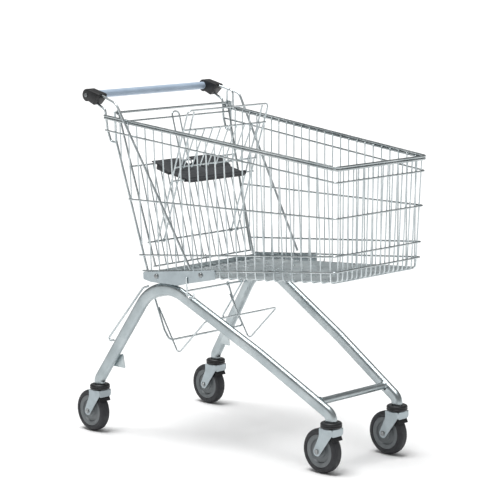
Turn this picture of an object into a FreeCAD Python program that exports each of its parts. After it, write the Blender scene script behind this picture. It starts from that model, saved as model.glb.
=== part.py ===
"""Supermarket shopping trolley on four castors.

Millimetres. +X points the way the trolley rolls, +Z is up. While a shape is built,
x is its distance in front of the rear castor pins; save() then shifts everything so
that the origin is on the floor, under the middle of the trolley.
"""

import FreeCAD, Part
import math
import os

V = FreeCAD.Vector

# ---- castors and chassis
WHEEL_BASE = 851.6
REAR_TRACK = 476.9
FRONT_TRACK = 270.3
WHEEL_R = 62.5
WHEEL_W = 32.0
TRAIL = 34.0
TUBE_DEEP = 36.0
TUBE_WIDE = 22.0
TUBE_WALL = 2.0
TUBE_END_Z = 147.5
LEG_ANGLE = 54.4
LEG_START_Z = 160.0
ARCH_BEND_R = 125.0
END_BEND_R = 25.0
FRONT_LOW_BACK = 39.6
FRONT_BEND_BACK = 241.6
FRONT_SLOPE = [(327.0, 450.0), (WHEEL_BASE - FRONT_BEND_BACK, 304.5)]
FRONT_LOW = (WHEEL_BASE - FRONT_LOW_BACK, 189.0)
CROSS_TUBE_R = 10.0

# ---- basket: rim and line wires, as (rear x, rear z, front z)
RIM_HALF_REAR = 237.7
RIM_HALF_FRONT = 180.0
RIM_REAR = (102.0, 944.5)
RIM_FRONT = (926.0, 846.9)
LOW_FRONT = (910.1, 568.8)
LOW_HALF_FRONT = 174.2
RIM_TAIL_X = 62.0
LINES = [
    (62.0, 910.5, 809.7),
    (146.4, 713.5, 713.3),
    (179.5, 552.1, 612.2),
    (190.0, 507.0, 568.8),
]
FLOOR_REAR = (210.0, 490.0)
FLOOR_SLOPE = 0.0681
RIM_R = 3.5
POST_R = 3.5
LINE_R = 2.5
MESH_R = 2.0
HOOP_COUNT = 21
HOOP_FIRST_X = 220.0
HOOP_PITCH = 33.5
FRONT_COUNT = 18
FRONT_HALF = 158.0
FAN = 1.28

# ---- rear flap, turning on the hinge rod
HINGE_X = 100.0
HINGE_Z = 962.0
FLAP_LEAN = 14.45
FLAP_HALF_TOP = 219.0
FLAP_HALF_BOTTOM = 193.0
FLAP_SIDE_R = 3.0
FLAP_TOP_D = 27.0
FLAP_SEAT_D = 160.0
FLAP_LOW_D = 386.0
FLAP_BOTTOM_D = 457.0
UPRIGHT_PITCH = 25.0
UPRIGHTS_EACH_SIDE = 7
DIVIDER_HALF = 14.0
STOP_HALF = 18.0
STOP_DEEP = 17.0

# ---- child seat
BACK_LEAN = 20.5
BACK_LONG = 412.0
SEAT_SIDE_GAP = 20.0
BACK_WIRE_STEP = 26.0
BACK_BAR_D = 354.0
BACK_LOW_BAR_D = 238.0
SEAT_HINGE_D = 194.0
SEAT_HALF = 115.0
BACK_INNER = SEAT_HALF + SEAT_SIDE_GAP
BACK_HALF = BACK_INNER + BACK_WIRE_STEP
SEAT_REST_LEAN = -2.873
SEAT_REST_BEYOND = 19.752
SEAT_AHEAD = 21.0
SEAT_TOP = 5.0
SEAT_UNDER = 3.0

# ---- handle
HANDLE_X = -8.0
HANDLE_Z = 1010.0
HANDLE_R = 11.5
HANDLE_HALF = 240.0
CAP_R = 18.5
CAP_IN = 218.0
CAP_OUT = 250.0
ARM_R = 3.5

# ---- crate carrier
CARRIER_ALONG_LEG = 300.0
CARRIER_HALF = 150.0
CARRIER_R = 3.0
CRADLE_R = 2.5

# ---- clearances
RUN_FIT = 0.08
AIR_GAP = 0.4
PLATE_T = 3.0

LINE_STEP = LINE_R + MESH_R
REACH_BACK = TRAIL + WHEEL_R
SIDES = [("right", -1.0), ("left", 1.0)]


# ------------------------------------------------------------ general helpers
def rod(a, b, r):
    """Straight round wire from a to b."""
    way = b.sub(a)
    return Part.makeCylinder(r, way.Length, a, way)


def arc_corner(before, corner, after, bend):
    """End points and middle point of the arc that rounds one corner."""
    back = before.sub(corner).normalize()
    ahead = after.sub(corner).normalize()
    half = math.acos(max(-1.0, min(1.0, back.dot(ahead)))) / 2.0
    run = bend / math.tan(half)
    centre = corner.add(back.add(ahead).normalize().multiply(bend / math.sin(half)))
    first = corner.add(V(back).multiply(run))
    last = corner.add(V(ahead).multiply(run))
    middle = centre.add(corner.sub(centre).normalize().multiply(bend))
    return first, middle, last


def bent_path(points, bend):
    """Wire through points with every inner corner rounded to radius bend."""
    edges = []
    here = points[0]
    for before, corner, after in zip(points, points[1:], points[2:]):
        first, middle, last = arc_corner(before, corner, after, bend)
        edges.append(Part.makeLine(here, first))
        edges.append(Part.Arc(first, middle, last).toShape())
        here = last
    edges.append(Part.makeLine(here, points[-1]))
    return Part.Wire(edges)


def bent_rod(points, r, bend):
    """Round wire bent along points."""
    path = bent_path(points, bend)
    way = points[1].sub(points[0])
    ring = Part.Wire([Part.makeCircle(r, points[0], way)])
    return path.makePipeShell([ring], True, False)


def plate(outline, thick):
    """Flat plate: outline is a list of points, thick the way and size it is pushed."""
    face = Part.Face(Part.makePolygon(outline + [outline[0]]))
    return face.extrude(thick)


def revolve(profile, centre, axis_y=True):
    """Turned part: profile is (radius, along) pairs, turned about Y or Z at centre."""
    points = []
    for radius, along in profile:
        offset = V(radius, along, 0) if axis_y else V(radius, 0, along)
        points.append(centre.add(offset))
    face = Part.Face(Part.makePolygon(points + [points[0]]))
    axis = V(0, 1, 0) if axis_y else V(0, 0, 1)
    return face.revolve(centre, axis, 360)


def joined(shapes):
    """One solid made of several that overlap."""
    whole = shapes[0]
    for shape in shapes[1:]:
        whole = whole.fuse(shape)
    return whole.removeSplitter()


def group(shapes):
    return Part.makeCompound(shapes)


def mirrored(point):
    return V(point.x, -point.y, point.z)


# ------------------------------------------------------------ reference surfaces
def plane_through(a, b, c):
    """Slopes of the plane y = k0 + kx x + kz z through three points."""
    normal = b.sub(a).cross(c.sub(a))
    kx = -normal.x / normal.y
    kz = -normal.z / normal.y
    return a.y - kx * a.x - kz * a.z, kx, kz


WALL_K0, WALL_KX, WALL_KZ = plane_through(
    V(RIM_REAR[0], RIM_HALF_REAR, RIM_REAR[1]),
    V(RIM_FRONT[0], RIM_HALF_FRONT, RIM_FRONT[1]),
    V(LOW_FRONT[0], LOW_HALF_FRONT, LOW_FRONT[1]),
)
WALL_STEEP = math.sqrt(1.0 + WALL_KX ** 2 + WALL_KZ ** 2)
FRONT_KZ = (RIM_FRONT[0] - LOW_FRONT[0]) / (RIM_FRONT[1] - LOW_FRONT[1])
FRONT_STEEP = math.sqrt(1.0 + FRONT_KZ ** 2)
RIM_KX = (RIM_FRONT[1] - RIM_REAR[1]) / (RIM_FRONT[0] - RIM_REAR[0])


def wall(x, z, side, out=0.0):
    """Point of a side wall, moved outwards by out."""
    half = WALL_K0 + WALL_KX * x + WALL_KZ * z + out * WALL_STEEP
    return V(x, side * half, z)


def front_x(z, out=0.0):
    return RIM_FRONT[0] + FRONT_KZ * (z - RIM_FRONT[1]) + out * FRONT_STEEP


def rim_z(x):
    return RIM_REAR[1] + RIM_KX * (x - RIM_REAR[0])


def floor_z(x):
    return FLOOR_REAR[1] + FLOOR_SLOPE * (x - FLOOR_REAR[0])


RIM_OUT = RIM_R - LINE_R
OVERALL_FRONT = front_x(RIM_FRONT[1] + RIM_R, RIM_OUT) + RIM_R
ORIGIN_SHIFT = -(OVERALL_FRONT - REACH_BACK) / 2.0


def save(name, shape):
    moved = shape.copy()
    moved.translate(V(ORIGIN_SHIFT, 0, 0))
    moved.exportStep("parts/" + name + ".step")


# ------------------------------------------------------------ chassis
def track_half(x):
    """Half distance between the two castor planes at x."""
    share = x / WHEEL_BASE
    return (REAR_TRACK + (FRONT_TRACK - REAR_TRACK) * share) / 2.0


TRACK_STEEP = math.sqrt(1.0 + ((REAR_TRACK - FRONT_TRACK) / 2.0 / WHEEL_BASE) ** 2)


def chassis_point(x, z, side, out=0.0):
    return V(x, side * (track_half(x) + out * TRACK_STEEP), z)


def arch_corner():
    """Where the straight rear leg and the front slope would meet."""
    rise = math.tan(math.radians(LEG_ANGLE))
    (x1, z1), (x2, z2) = FRONT_SLOPE
    fall = (z2 - z1) / (x2 - x1)
    x = (z1 - fall * x1 - LEG_START_Z) / (rise - fall)
    return x, LEG_START_Z + rise * x


def arch_crown():
    """Middle of the bend between the rear leg and the front slope."""
    x, z = arch_corner()
    rise = math.radians(LEG_ANGLE)
    (x1, z1), (x2, z2) = FRONT_SLOPE
    fall = math.atan((z2 - z1) / (x2 - x1))
    inset = ARCH_BEND_R / math.cos((rise - fall) / 2.0) - ARCH_BEND_R
    lean = (rise + fall) / 2.0
    return x + inset * math.sin(lean), z - inset * math.cos(lean)


def tube_section(start, along, across, deep, wide):
    """Flat-oval outline: two round ends joined by two flats."""
    r = wide / 2.0
    half = deep / 2.0 - r
    a = start.add(V(along).multiply(half)).add(V(across).multiply(r))
    b = start.add(V(along).multiply(half + r))
    c = start.add(V(along).multiply(half)).sub(V(across).multiply(r))
    d = start.sub(V(along).multiply(half)).sub(V(across).multiply(r))
    e = start.sub(V(along).multiply(half + r))
    f = start.sub(V(along).multiply(half)).add(V(across).multiply(r))
    edges = [
        Part.Arc(a, b, c).toShape(),
        Part.makeLine(c, d),
        Part.Arc(d, e, f).toShape(),
        Part.makeLine(f, a),
    ]
    return Part.Wire(edges)


def chassis_path(side):
    """Centre line of one bent side tube, from rear castor to front castor."""
    apex_x, apex_z = arch_corner()
    x2, z2 = FRONT_SLOPE[1]
    fall = (FRONT_LOW[1] - z2) / (FRONT_LOW[0] - x2)
    nose_z = FRONT_LOW[1] + fall * (WHEEL_BASE - FRONT_LOW[0])
    flat = [(0.0, TUBE_END_Z), (0.0, LEG_START_Z), (apex_x, apex_z), (x2, z2)]
    flat = flat + [(WHEEL_BASE, nose_z), (WHEEL_BASE, TUBE_END_Z)]
    points = [chassis_point(x, z, side) for x, z in flat]
    bends = [END_BEND_R, ARCH_BEND_R, ARCH_BEND_R, END_BEND_R]
    edges = []
    here = points[0]
    for number, bend in enumerate(bends):
        first, middle, last = arc_corner(points[number], points[number + 1], points[number + 2], bend)
        if first.sub(here).Length > 0.01:
            edges.append(Part.makeLine(here, first))
        edges.append(Part.Arc(first, middle, last).toShape())
        here = last
    edges.append(Part.makeLine(here, points[-1]))
    return Part.Wire(edges)


def chassis_tube(side):
    """Hollow flat-oval tube that carries one side of the trolley."""
    path = chassis_path(side)
    start = chassis_point(0.0, TUBE_END_Z, side)
    along = chassis_point(WHEEL_BASE, TUBE_END_Z, side).sub(start).normalize()
    across = along.cross(V(0, 0, 1))
    outer = tube_section(start, along, across, TUBE_DEEP, TUBE_WIDE)
    inner = tube_section(start, along, across, TUBE_DEEP - 2 * TUBE_WALL, TUBE_WIDE - 2 * TUBE_WALL)
    skin = path.makePipeShell([outer], True, False)
    core = path.makePipeShell([inner], True, False)
    return skin.cut(core)


def front_cross_tube():
    """Round tube welded between the two front legs."""
    x, z = FRONT_LOW[0] - 6.0, FRONT_LOW[1] + 7.0
    taper = (REAR_TRACK - FRONT_TRACK) / 2.0 / WHEEL_BASE
    half = track_half(x) - TUBE_WIDE / 2.0 - CROSS_TUBE_R * taper
    return rod(V(x, -half, z), V(x, half, z), CROSS_TUBE_R)


def leg_guard(side):
    """Wire guard that stands off the back of a rear leg."""
    x, z = arch_crown()
    flat = [(x - 44.17, z + 6.65), (x - 65.17, z - 0.85), (x - 77.17, z - 13.85)]
    flat = flat + [(42.0, 291.0), (49.0, 283.5), (63.0, 287.0)]
    points = [chassis_point(x, z, side) for x, z in flat]
    return bent_rod(points, 3.0, 5.0)


def leg_bracket(side):
    """Small gusset on the inner face of a rear leg."""
    flat = [(40.0, 205.0), (92.0, 203.0), (84.0, 246.0), (66.0, 240.0)]
    near = [chassis_point(x, z, side, -TUBE_WIDE / 2.0) for x, z in flat]
    return plate(near, V(0, -side * PLATE_T, 0))


def apex_top():
    """Height of the top of the chassis arch."""
    x, z = arch_corner()
    rise = math.radians(LEG_ANGLE)
    (x1, z1), (x2, z2) = FRONT_SLOPE
    fall = math.atan((z2 - z1) / (x2 - x1))
    turn = (rise - fall) / 2.0
    lean = (rise + fall) / 2.0
    centre_z = z - math.cos(lean) * ARCH_BEND_R / math.cos(turn)
    return centre_z + ARCH_BEND_R + TUBE_DEEP / 2.0


def side_plate(side):
    """Sheet plate along the bottom of a side wall, with a foot on the chassis arch."""
    foot_z = apex_top() + 0.3
    flat = [(196.0, foot_z + 6.0), (225.0, foot_z), (335.0, foot_z), (372.0, 487.0)]
    flat = flat + [(480.0, 509.0), (480.0, 536.0), (196.0, 505.0)]
    near = [wall(x, z, side, LINE_R) for x, z in flat]
    far = [wall(x, z, side, LINE_R + PLATE_T) for x, z in flat]
    sheet = plate(near, far[0].sub(near[0]))
    foot_points = [wall(230.0, foot_z, side, LINE_R), wall(330.0, foot_z, side, LINE_R)]
    for point in foot_points:
        point.y = side * max(abs(point.y), track_half(point.x))
    foot_points = foot_points + [wall(330.0, foot_z, side, -18.0), wall(230.0, foot_z, side, -18.0)]
    foot = plate(foot_points, V(0, 0, PLATE_T))
    return joined([sheet, foot])


def rear_strip():
    """Cross strip that closes the floor at the back and stops the flap."""
    half = wall(212.0, 490.0, 1.0, -LINE_R - 2 * POST_R).y - AIR_GAP
    return Part.makeBox(PLATE_T, 2 * half, 22.0, V(211.0, -half, 484.0))


def plate_bolts():
    """Bolts that hold the handle arms to the side plates."""
    bolts = []
    for name, side in SIDES:
        for x, z in [(250.0, 497.0), (425.0, 517.0)]:
            seat = wall(x, z, side, LINE_R + PLATE_T)
            out = V(-WALL_KX, side, -WALL_KZ)
            bolts.append(Part.makeCylinder(7.0, 4.5, seat, out))
    return group(bolts)


def bag_hooks():
    """Two wire hooks on the side plates, open at the front."""
    hooks = []
    for name, side in SIDES:
        flat = [(372.0, 506.0), (372.0, 447.0), (398.0, 447.0), (398.0, 462.0)]
        points = [wall(x, z, side, LINE_R + PLATE_T + LINE_R) for x, z in flat]
        hooks.append(bent_rod(points, LINE_R, 9.0))
    return group(hooks)


# ------------------------------------------------------------ basket
def rim():
    """Double rim wire on both sides and across the front."""
    wires = []
    for lift in (RIM_R, -RIM_R):
        z_end = rim_z(RIM_FRONT[0]) + lift
        x_end = front_x(z_end, RIM_OUT)
        corner = wall(x_end, z_end, 1.0, RIM_OUT)
        wires.append(rod(mirrored(V(x_end, corner.y + RIM_R, z_end)), V(x_end, corner.y + RIM_R, z_end), RIM_R))
        stop_x = x_end - RIM_R - AIR_GAP
        for name, side in SIDES:
            rear = wall(RIM_TAIL_X, rim_z(RIM_TAIL_X) + lift, side, RIM_OUT)
            front = wall(stop_x, rim_z(stop_x) + lift, side, RIM_OUT)
            wires.append(rod(rear, front, RIM_R))
    return group(wires)


def line_wires():
    """Level wires of the two side walls and the front wall."""
    wires = []
    for rear_x, rear_z, front_z in LINES:
        x_end = front_x(front_z)
        corner = wall(x_end, front_z, 1.0)
        wires.append(rod(V(x_end, -corner.y - LINE_R, front_z), V(x_end, corner.y + LINE_R, front_z), LINE_R))
        stop_x = x_end - LINE_R - AIR_GAP
        for name, side in SIDES:
            rear = wall(rear_x, rear_z, side)
            wires.append(rod(rear, wall(stop_x, front_z, side), LINE_R))
    return group(wires)


def hoop_x():
    return [HOOP_FIRST_X + HOOP_PITCH * number for number in range(HOOP_COUNT)]


def side_wires(side):
    """Upright wires of one side wall."""
    wires = []
    for x in hoop_x():
        low = floor_z(x) + MESH_R
        wires.append(rod(wall(x, low, side, -LINE_STEP), wall(x, rim_z(x), side, -LINE_STEP), MESH_R))
    for number in (1, 2, 3):
        x = HOOP_FIRST_X - HOOP_PITCH * number
        low = post_z(x) + POST_R / math.sin(math.radians(15.5)) + 6.0
        wires.append(rod(wall(x, low, side, -LINE_STEP), wall(x, rim_z(x), side, -LINE_STEP), MESH_R))
    return group(wires)


def floor_cross_wires():
    """Floor wires that run from side to side under the long ones."""
    wires = []
    for x in hoop_x():
        end = wall(x, floor_z(x), 1.0, -LINE_STEP + MESH_R)
        wires.append(rod(mirrored(end), end, MESH_R))
    return group(wires)


def front_y(number):
    return -FRONT_HALF + 2.0 * FRONT_HALF * number / (FRONT_COUNT - 1)


def long_z(x):
    """Centre height of the long floor wires, which lie on the cross wires."""
    return floor_z(x) + 2.0 * MESH_R * math.sqrt(1.0 + FLOOR_SLOPE ** 2)


def floor_long_wires():
    wires = []
    front_end = front_x(long_z(900.0), -LINE_STEP) + MESH_R
    rear_end = 211.0 + PLATE_T + AIR_GAP
    for number in range(FRONT_COUNT):
        y = front_y(number)
        wires.append(rod(V(rear_end, y * FAN, long_z(rear_end)), V(front_end, y, long_z(front_end)), MESH_R))
    return group(wires)


def front_wires():
    """Upright wires of the front wall."""
    wires = []
    top = rim_z(RIM_FRONT[0])
    low = long_z(905.0) + MESH_R + 0.2
    for number in range(FRONT_COUNT):
        y = front_y(number)
        low_point = V(front_x(low, -LINE_STEP), y, low)
        wires.append(rod(low_point, V(front_x(top, -LINE_STEP), y * 1.06, top), MESH_R))
    return group(wires)


POST_PATH = [(99.5, 966.0), (99.5, 881.0), (194.0, 540.0), (210.0, 486.0)]


def post_z(x):
    """Height at which the sloping part of a rear post passes x."""
    (x1, z1), (x2, z2) = POST_PATH[1], POST_PATH[2]
    return z1 + (x - x1) * (z2 - z1) / (x2 - x1)


def rear_post(side):
    points = [wall(x, z, side, -LINE_R - POST_R) for x, z in POST_PATH]
    return bent_rod(points, POST_R, 20.0)


def left_loop():
    """Wire loop that stands up from the inside of the left rim, beside the hinge."""
    low = RIM_OUT - RIM_R - 3.0
    flat = [(82.0, rim_z(82.0) - 6.0, low), (84.0, 1000.0, low - 1.5)]
    flat = flat + [(110.0, 1000.0, low - 1.5), (112.0, rim_z(112.0) - 6.0, low)]
    points = [wall(x, z, 1.0, out) for x, z, out in flat]
    return bent_rod(points, 3.0, 12.0)


def hinge_rod():
    half = wall(HINGE_X, HINGE_Z, 1.0, -LINE_R - 2 * POST_R).y
    return rod(V(HINGE_X, -half, HINGE_Z), V(HINGE_X, half, HINGE_Z), POST_R)


# ------------------------------------------------------------ handle
def upper_arm(side):
    """Wire from the end cap, over the rim and down the outside of the side wall."""
    out = LINE_R + PLATE_T + ARM_R
    bend = [wall(x, z, side, out) for x, z in [(123.0, 989.0), (390.0, 531.0)]]
    return bent_rod([V(44.0, side * 234.1, 1010.8)] + bend, ARM_R, 30.0)


def lower_arm(side):
    """Stay from the end cap down to the rear post."""
    flat = [(60.0, 968.5), (66.0, 911.0), (78.0, 878.0), (95.5, 876.0)]
    points = [wall(x, z, side, -LINE_R - POST_R) for x, z in flat]
    start = V(23.0, points[0].y, 987.0)
    return bent_rod([start] + points, ARM_R, 10.0)


def handle_tube():
    return rod(V(HANDLE_X, -HANDLE_HALF, HANDLE_Z), V(HANDLE_X, HANDLE_HALF, HANDLE_Z), HANDLE_R)


def cap_outline(y, inset):
    """Outline of an end cap at y: round at the back, slanted at the front."""
    r = CAP_R - inset
    x0, z0 = HANDLE_X, HANDLE_Z
    nose_top = V(51.0 - inset, y, z0 + 4.5 - inset)
    nose_low = V(47.0 - inset, y, z0 - 8.0 + inset)
    chin = V(24.0 - inset, y, z0 - 28.0 + inset)
    crown = V(x0 + 0.17 * r, y, z0 + 0.985 * r)
    back = V(x0 - r, y, z0)
    heel = V(x0 + 0.35 * r, y, z0 - 0.937 * r)
    edges = [
        Part.Arc(crown, back, heel).toShape(),
        Part.makeLine(heel, chin),
        Part.makeLine(chin, nose_low),
        Part.makeLine(nose_low, nose_top),
        Part.makeLine(nose_top, crown),
    ]
    return Part.Wire(edges)


def end_cap(side):
    """Moulded cap that joins the handle tube and the two arm wires."""
    body = Part.Face(cap_outline(side * CAP_IN, 0.0)).extrude(V(0, side * (CAP_OUT - CAP_IN - 4.0), 0))
    lip = Part.makeLoft([cap_outline(side * (CAP_OUT - 4.0), 0.0), cap_outline(side * CAP_OUT, 3.0)], True)
    cap = joined([body, lip])
    for part in (handle_tube(), upper_arm(side), lower_arm(side)):
        cap = cap.cut(part)
    return cap


def cap_screws():
    screws = []
    for name, side in SIDES:
        head = Part.makeCylinder(6.0, 2.7, V(HANDLE_X, side * CAP_OUT, HANDLE_Z), V(0, side, 0))
        screws.append(head)
    return group(screws)


# ------------------------------------------------------------ rear flap
FLAP_DOWN = V(math.sin(math.radians(FLAP_LEAN)), 0, -math.cos(math.radians(FLAP_LEAN)))
FLAP_OUT = V(math.cos(math.radians(FLAP_LEAN)), 0, math.sin(math.radians(FLAP_LEAN)))


def flap_point(d, y, out=0.0):
    """Point on the flap: d below the hinge, out in front of the side wires."""
    start = V(HINGE_X, y, HINGE_Z)
    return start.add(V(FLAP_DOWN).multiply(d)).add(V(FLAP_OUT).multiply(out))


def flap_half(d):
    return FLAP_HALF_TOP + (FLAP_HALF_BOTTOM - FLAP_HALF_TOP) * d / FLAP_BOTTOM_D


FLAP_LINE_OUT = -FLAP_SIDE_R - LINE_R
FLAP_MESH_OUT = FLAP_LINE_OUT + LINE_R + MESH_R
EYE_R = 9.0


def flap_frame():
    """Two side wires that hang from eyes on the hinge rod, and the level wires."""
    parts = []
    for name, side in SIDES:
        eye = Part.makeCylinder(EYE_R, 6.0, V(HINGE_X, side * FLAP_HALF_TOP - 3.0, HINGE_Z), V(0, 1, 0))
        bore = Part.makeCylinder(POST_R + RUN_FIT, 20.0, V(HINGE_X, side * FLAP_HALF_TOP - 10.0, HINGE_Z), V(0, 1, 0))
        parts.append(eye.cut(bore))
        top = flap_point(EYE_R + 0.2, side * flap_half(EYE_R))
        low = flap_point(FLAP_BOTTOM_D + LINE_R, side * flap_half(FLAP_BOTTOM_D))
        parts.append(rod(top, low, FLAP_SIDE_R))
    for d in (FLAP_TOP_D, FLAP_SEAT_D, FLAP_LOW_D, FLAP_BOTTOM_D):
        half = flap_half(d) + FLAP_SIDE_R
        parts.append(rod(flap_point(d, -half, FLAP_LINE_OUT), flap_point(d, half, FLAP_LINE_OUT), LINE_R))
    return group(parts)


def flap_uprights():
    """Thin upright wires below the leg openings."""
    wires = []
    for number in range(-UPRIGHTS_EACH_SIDE, UPRIGHTS_EACH_SIDE + 1):
        y = UPRIGHT_PITCH * number
        top = flap_point(FLAP_SEAT_D, y, FLAP_MESH_OUT)
        low = flap_point(FLAP_BOTTOM_D + LINE_R, y, FLAP_MESH_OUT)
        wires.append(rod(top, low, MESH_R))
    return group(wires)


def leg_divider():
    """Upside-down U between the two leg openings, and the U that stops the flap."""
    out = FLAP_LINE_OUT + 2 * LINE_R
    top_d = 12.0
    low_d = FLAP_SEAT_D - LINE_R - AIR_GAP
    top_points = [flap_point(low_d, -DIVIDER_HALF, out), flap_point(top_d, -DIVIDER_HALF, out)]
    top_points = top_points + [flap_point(top_d, DIVIDER_HALF, out), flap_point(low_d, DIVIDER_HALF, out)]
    return bent_rod(top_points, LINE_R, DIVIDER_HALF - 2.0)


def stop_loop():
    out = FLAP_LINE_OUT - LINE_R - MESH_R
    high = FLAP_BOTTOM_D - 12.0
    deep = FLAP_BOTTOM_D + STOP_DEEP
    points = [flap_point(high, -STOP_HALF, out), flap_point(deep, -STOP_HALF, out)]
    points = points + [flap_point(deep, STOP_HALF, out), flap_point(high, STOP_HALF, out)]
    return bent_rod(points, MESH_R, STOP_HALF - 3.0)


# ------------------------------------------------------------ child seat
BACK_UP = V(math.sin(math.radians(BACK_LEAN)), 0, math.cos(math.radians(BACK_LEAN)))
BACK_OUT = V(math.cos(math.radians(BACK_LEAN)), 0, -math.sin(math.radians(BACK_LEAN)))
BACK_PIVOT = flap_point(FLAP_LOW_D, 0.0, FLAP_LINE_OUT)


def back_point(d, y, out=0.0):
    """Point on the backrest: d above its pivot, out in front of its side wires."""
    start = V(BACK_PIVOT.x, y, BACK_PIVOT.z)
    return start.add(V(BACK_UP).multiply(d)).add(V(BACK_OUT).multiply(out))


BACK_BAR_OUT = 2 * LINE_R
BACK_EYE_R = 6.5


def backrest_frame():
    """Bent outer wire of the backrest with its two pivot eyes."""
    parts = []
    start_d = BACK_EYE_R + 0.2
    points = [back_point(start_d, -BACK_HALF), back_point(BACK_LONG, -BACK_HALF)]
    points = points + [back_point(BACK_LONG, BACK_HALF), back_point(start_d, BACK_HALF)]
    parts.append(bent_rod(points, LINE_R, 14.0))
    for y in (-BACK_HALF, -BACK_INNER - 1.5, BACK_INNER + 1.5, BACK_HALF):
        centre = V(BACK_PIVOT.x, y - 2.5, BACK_PIVOT.z)
        eye = Part.makeCylinder(BACK_EYE_R, 5.0, centre, V(0, 1, 0))
        bore = Part.makeCylinder(LINE_R + RUN_FIT, 20.0, V(BACK_PIVOT.x, y - 10.0, BACK_PIVOT.z), V(0, 1, 0))
        parts.append(eye.cut(bore))
    for side in (-1.0, 1.0):
        y = side * (BACK_INNER + 1.5)
        parts.append(rod(back_point(start_d, y), back_point(BACK_LONG - 2 * LINE_R, y), LINE_R))
    return parts


def backrest_bars():
    """Cross bars of the backrest; the lowest one carries the seat plate."""
    bars = []
    for d in (SEAT_HINGE_D, BACK_LOW_BAR_D, BACK_BAR_D):
        half = BACK_HALF + LINE_R
        bars.append(rod(back_point(d, -half, BACK_BAR_OUT), back_point(d, half, BACK_BAR_OUT), LINE_R))
    return bars


def backrest_grid():
    """Thin slanting wires across the upper backrest."""
    wires = []
    out = BACK_BAR_OUT + LINE_R + MESH_R
    for number in range(-4, 5):
        y = 32.0 * number
        low = back_point(BACK_LOW_BAR_D - LINE_R, y - 8.0, out)
        high = back_point(BACK_BAR_D + LINE_R, y + 8.0, out)
        wires.append(rod(low, high, MESH_R))
    return group(wires)


SEAT_PIVOT = back_point(SEAT_HINGE_D, 0.0, BACK_BAR_OUT)
SEAT_REST = flap_point(FLAP_SEAT_D, 0.0, FLAP_LINE_OUT)
SEAT_RUN = SEAT_PIVOT.sub(SEAT_REST)
SEAT_DROP = SEAT_REST_LEAN - math.degrees(math.atan2(SEAT_RUN.z, SEAT_RUN.x))
SEAT_BEHIND = SEAT_RUN.Length - SEAT_REST_BEYOND
SEAT_AHEAD_WAY = V(math.cos(math.radians(SEAT_DROP)), 0, -math.sin(math.radians(SEAT_DROP)))
SEAT_UP_WAY = V(math.sin(math.radians(SEAT_DROP)), 0, math.cos(math.radians(SEAT_DROP)))


def seat_point(ahead, up, y):
    start = V(SEAT_PIVOT.x, y, SEAT_PIVOT.z)
    return start.add(V(SEAT_AHEAD_WAY).multiply(ahead)).add(V(SEAT_UP_WAY).multiply(up))


def seat_section(corners, y1, y2):
    """Bar along Y whose section is drawn in the seat's own (ahead, up) directions."""
    outline = [seat_point(ahead, up, y1) for ahead, up in corners]
    return plate(outline, V(0, y2 - y1, 0))


def seat_sheet():
    """Plate with rounded corners and a notch that clears the leg divider."""
    front = SEAT_AHEAD
    rear = -SEAT_BEHIND
    cut = 12.0
    notch = DIVIDER_HALF + LINE_R + 5.0
    flat = [(rear + cut, -SEAT_HALF), (front - cut, -SEAT_HALF), (front, -SEAT_HALF + cut)]
    flat = flat + [(front, SEAT_HALF - cut), (front - cut, SEAT_HALF), (rear + cut, SEAT_HALF)]
    flat = flat + [(rear, SEAT_HALF - cut), (rear, notch), (rear + 20.0, notch - 4.0)]
    flat = flat + [(rear + 20.0, -notch + 4.0), (rear, -notch), (rear, -SEAT_HALF + cut)]
    outline = [seat_point(ahead, -SEAT_UNDER, y) for ahead, y in flat]
    return plate(outline, V(SEAT_UP_WAY).multiply(SEAT_TOP + SEAT_UNDER))


def seat_lip(side):
    """Raised rear edge beside the notch, with a tongue that rests on the flap."""
    rear = -SEAT_BEHIND
    corners = [(rear - 24.0, 11.5), (rear - 24.0, 15.5), (rear + 10.0, 15.5), (rear + 56.0, SEAT_TOP)]
    corners = corners + [(rear + 56.0, -SEAT_UNDER), (rear, -SEAT_UNDER), (rear, 11.5)]
    ends = sorted([side * (DIVIDER_HALF + LINE_R + 5.0), side * (SEAT_HALF + 10.0)])
    return seat_section(corners, ends[0], ends[1])


def seat_plate():
    """Moulded seat with a hinge barrel and a raised rear edge that rests on the flap."""
    barrel_start = V(SEAT_PIVOT.x, -SEAT_HALF, SEAT_PIVOT.z)
    barrel = Part.makeCylinder(6.5, 2 * SEAT_HALF + 13.0, barrel_start, V(0, 1, 0))
    trim = [(-12.0, SEAT_TOP), (12.0, SEAT_TOP), (12.0, SEAT_TOP + 6.0), (-12.0, SEAT_TOP + 6.0)]
    top_trim = seat_section(trim, -SEAT_HALF - 8.0, SEAT_HALF - 8.0)
    parts = [seat_sheet(), barrel.cut(top_trim), seat_lip(-1.0), seat_lip(1.0)]
    bore_start = V(SEAT_PIVOT.x, -SEAT_HALF - 40.0, SEAT_PIVOT.z)
    bore = Part.makeCylinder(LINE_R + RUN_FIT, 2 * SEAT_HALF + 80.0, bore_start, V(0, 1, 0))
    return joined(parts).cut(bore)


# ------------------------------------------------------------ crate carrier
def carrier_pivot():
    """Point on the back of the rear leg where the carrier rod lies."""
    rise = math.radians(LEG_ANGLE)
    off = TUBE_DEEP / 2.0 + CARRIER_R
    x = CARRIER_ALONG_LEG * math.cos(rise) - off * math.sin(rise)
    z = LEG_START_Z + CARRIER_ALONG_LEG * math.sin(rise) + off * math.cos(rise)
    return x, z


def carrier_rod():
    x, z = carrier_pivot()
    half = track_half(x) - TUBE_WIDE / 2.0 + 5.0
    return rod(V(x, -half, z), V(x, half, z), CARRIER_R)


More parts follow.
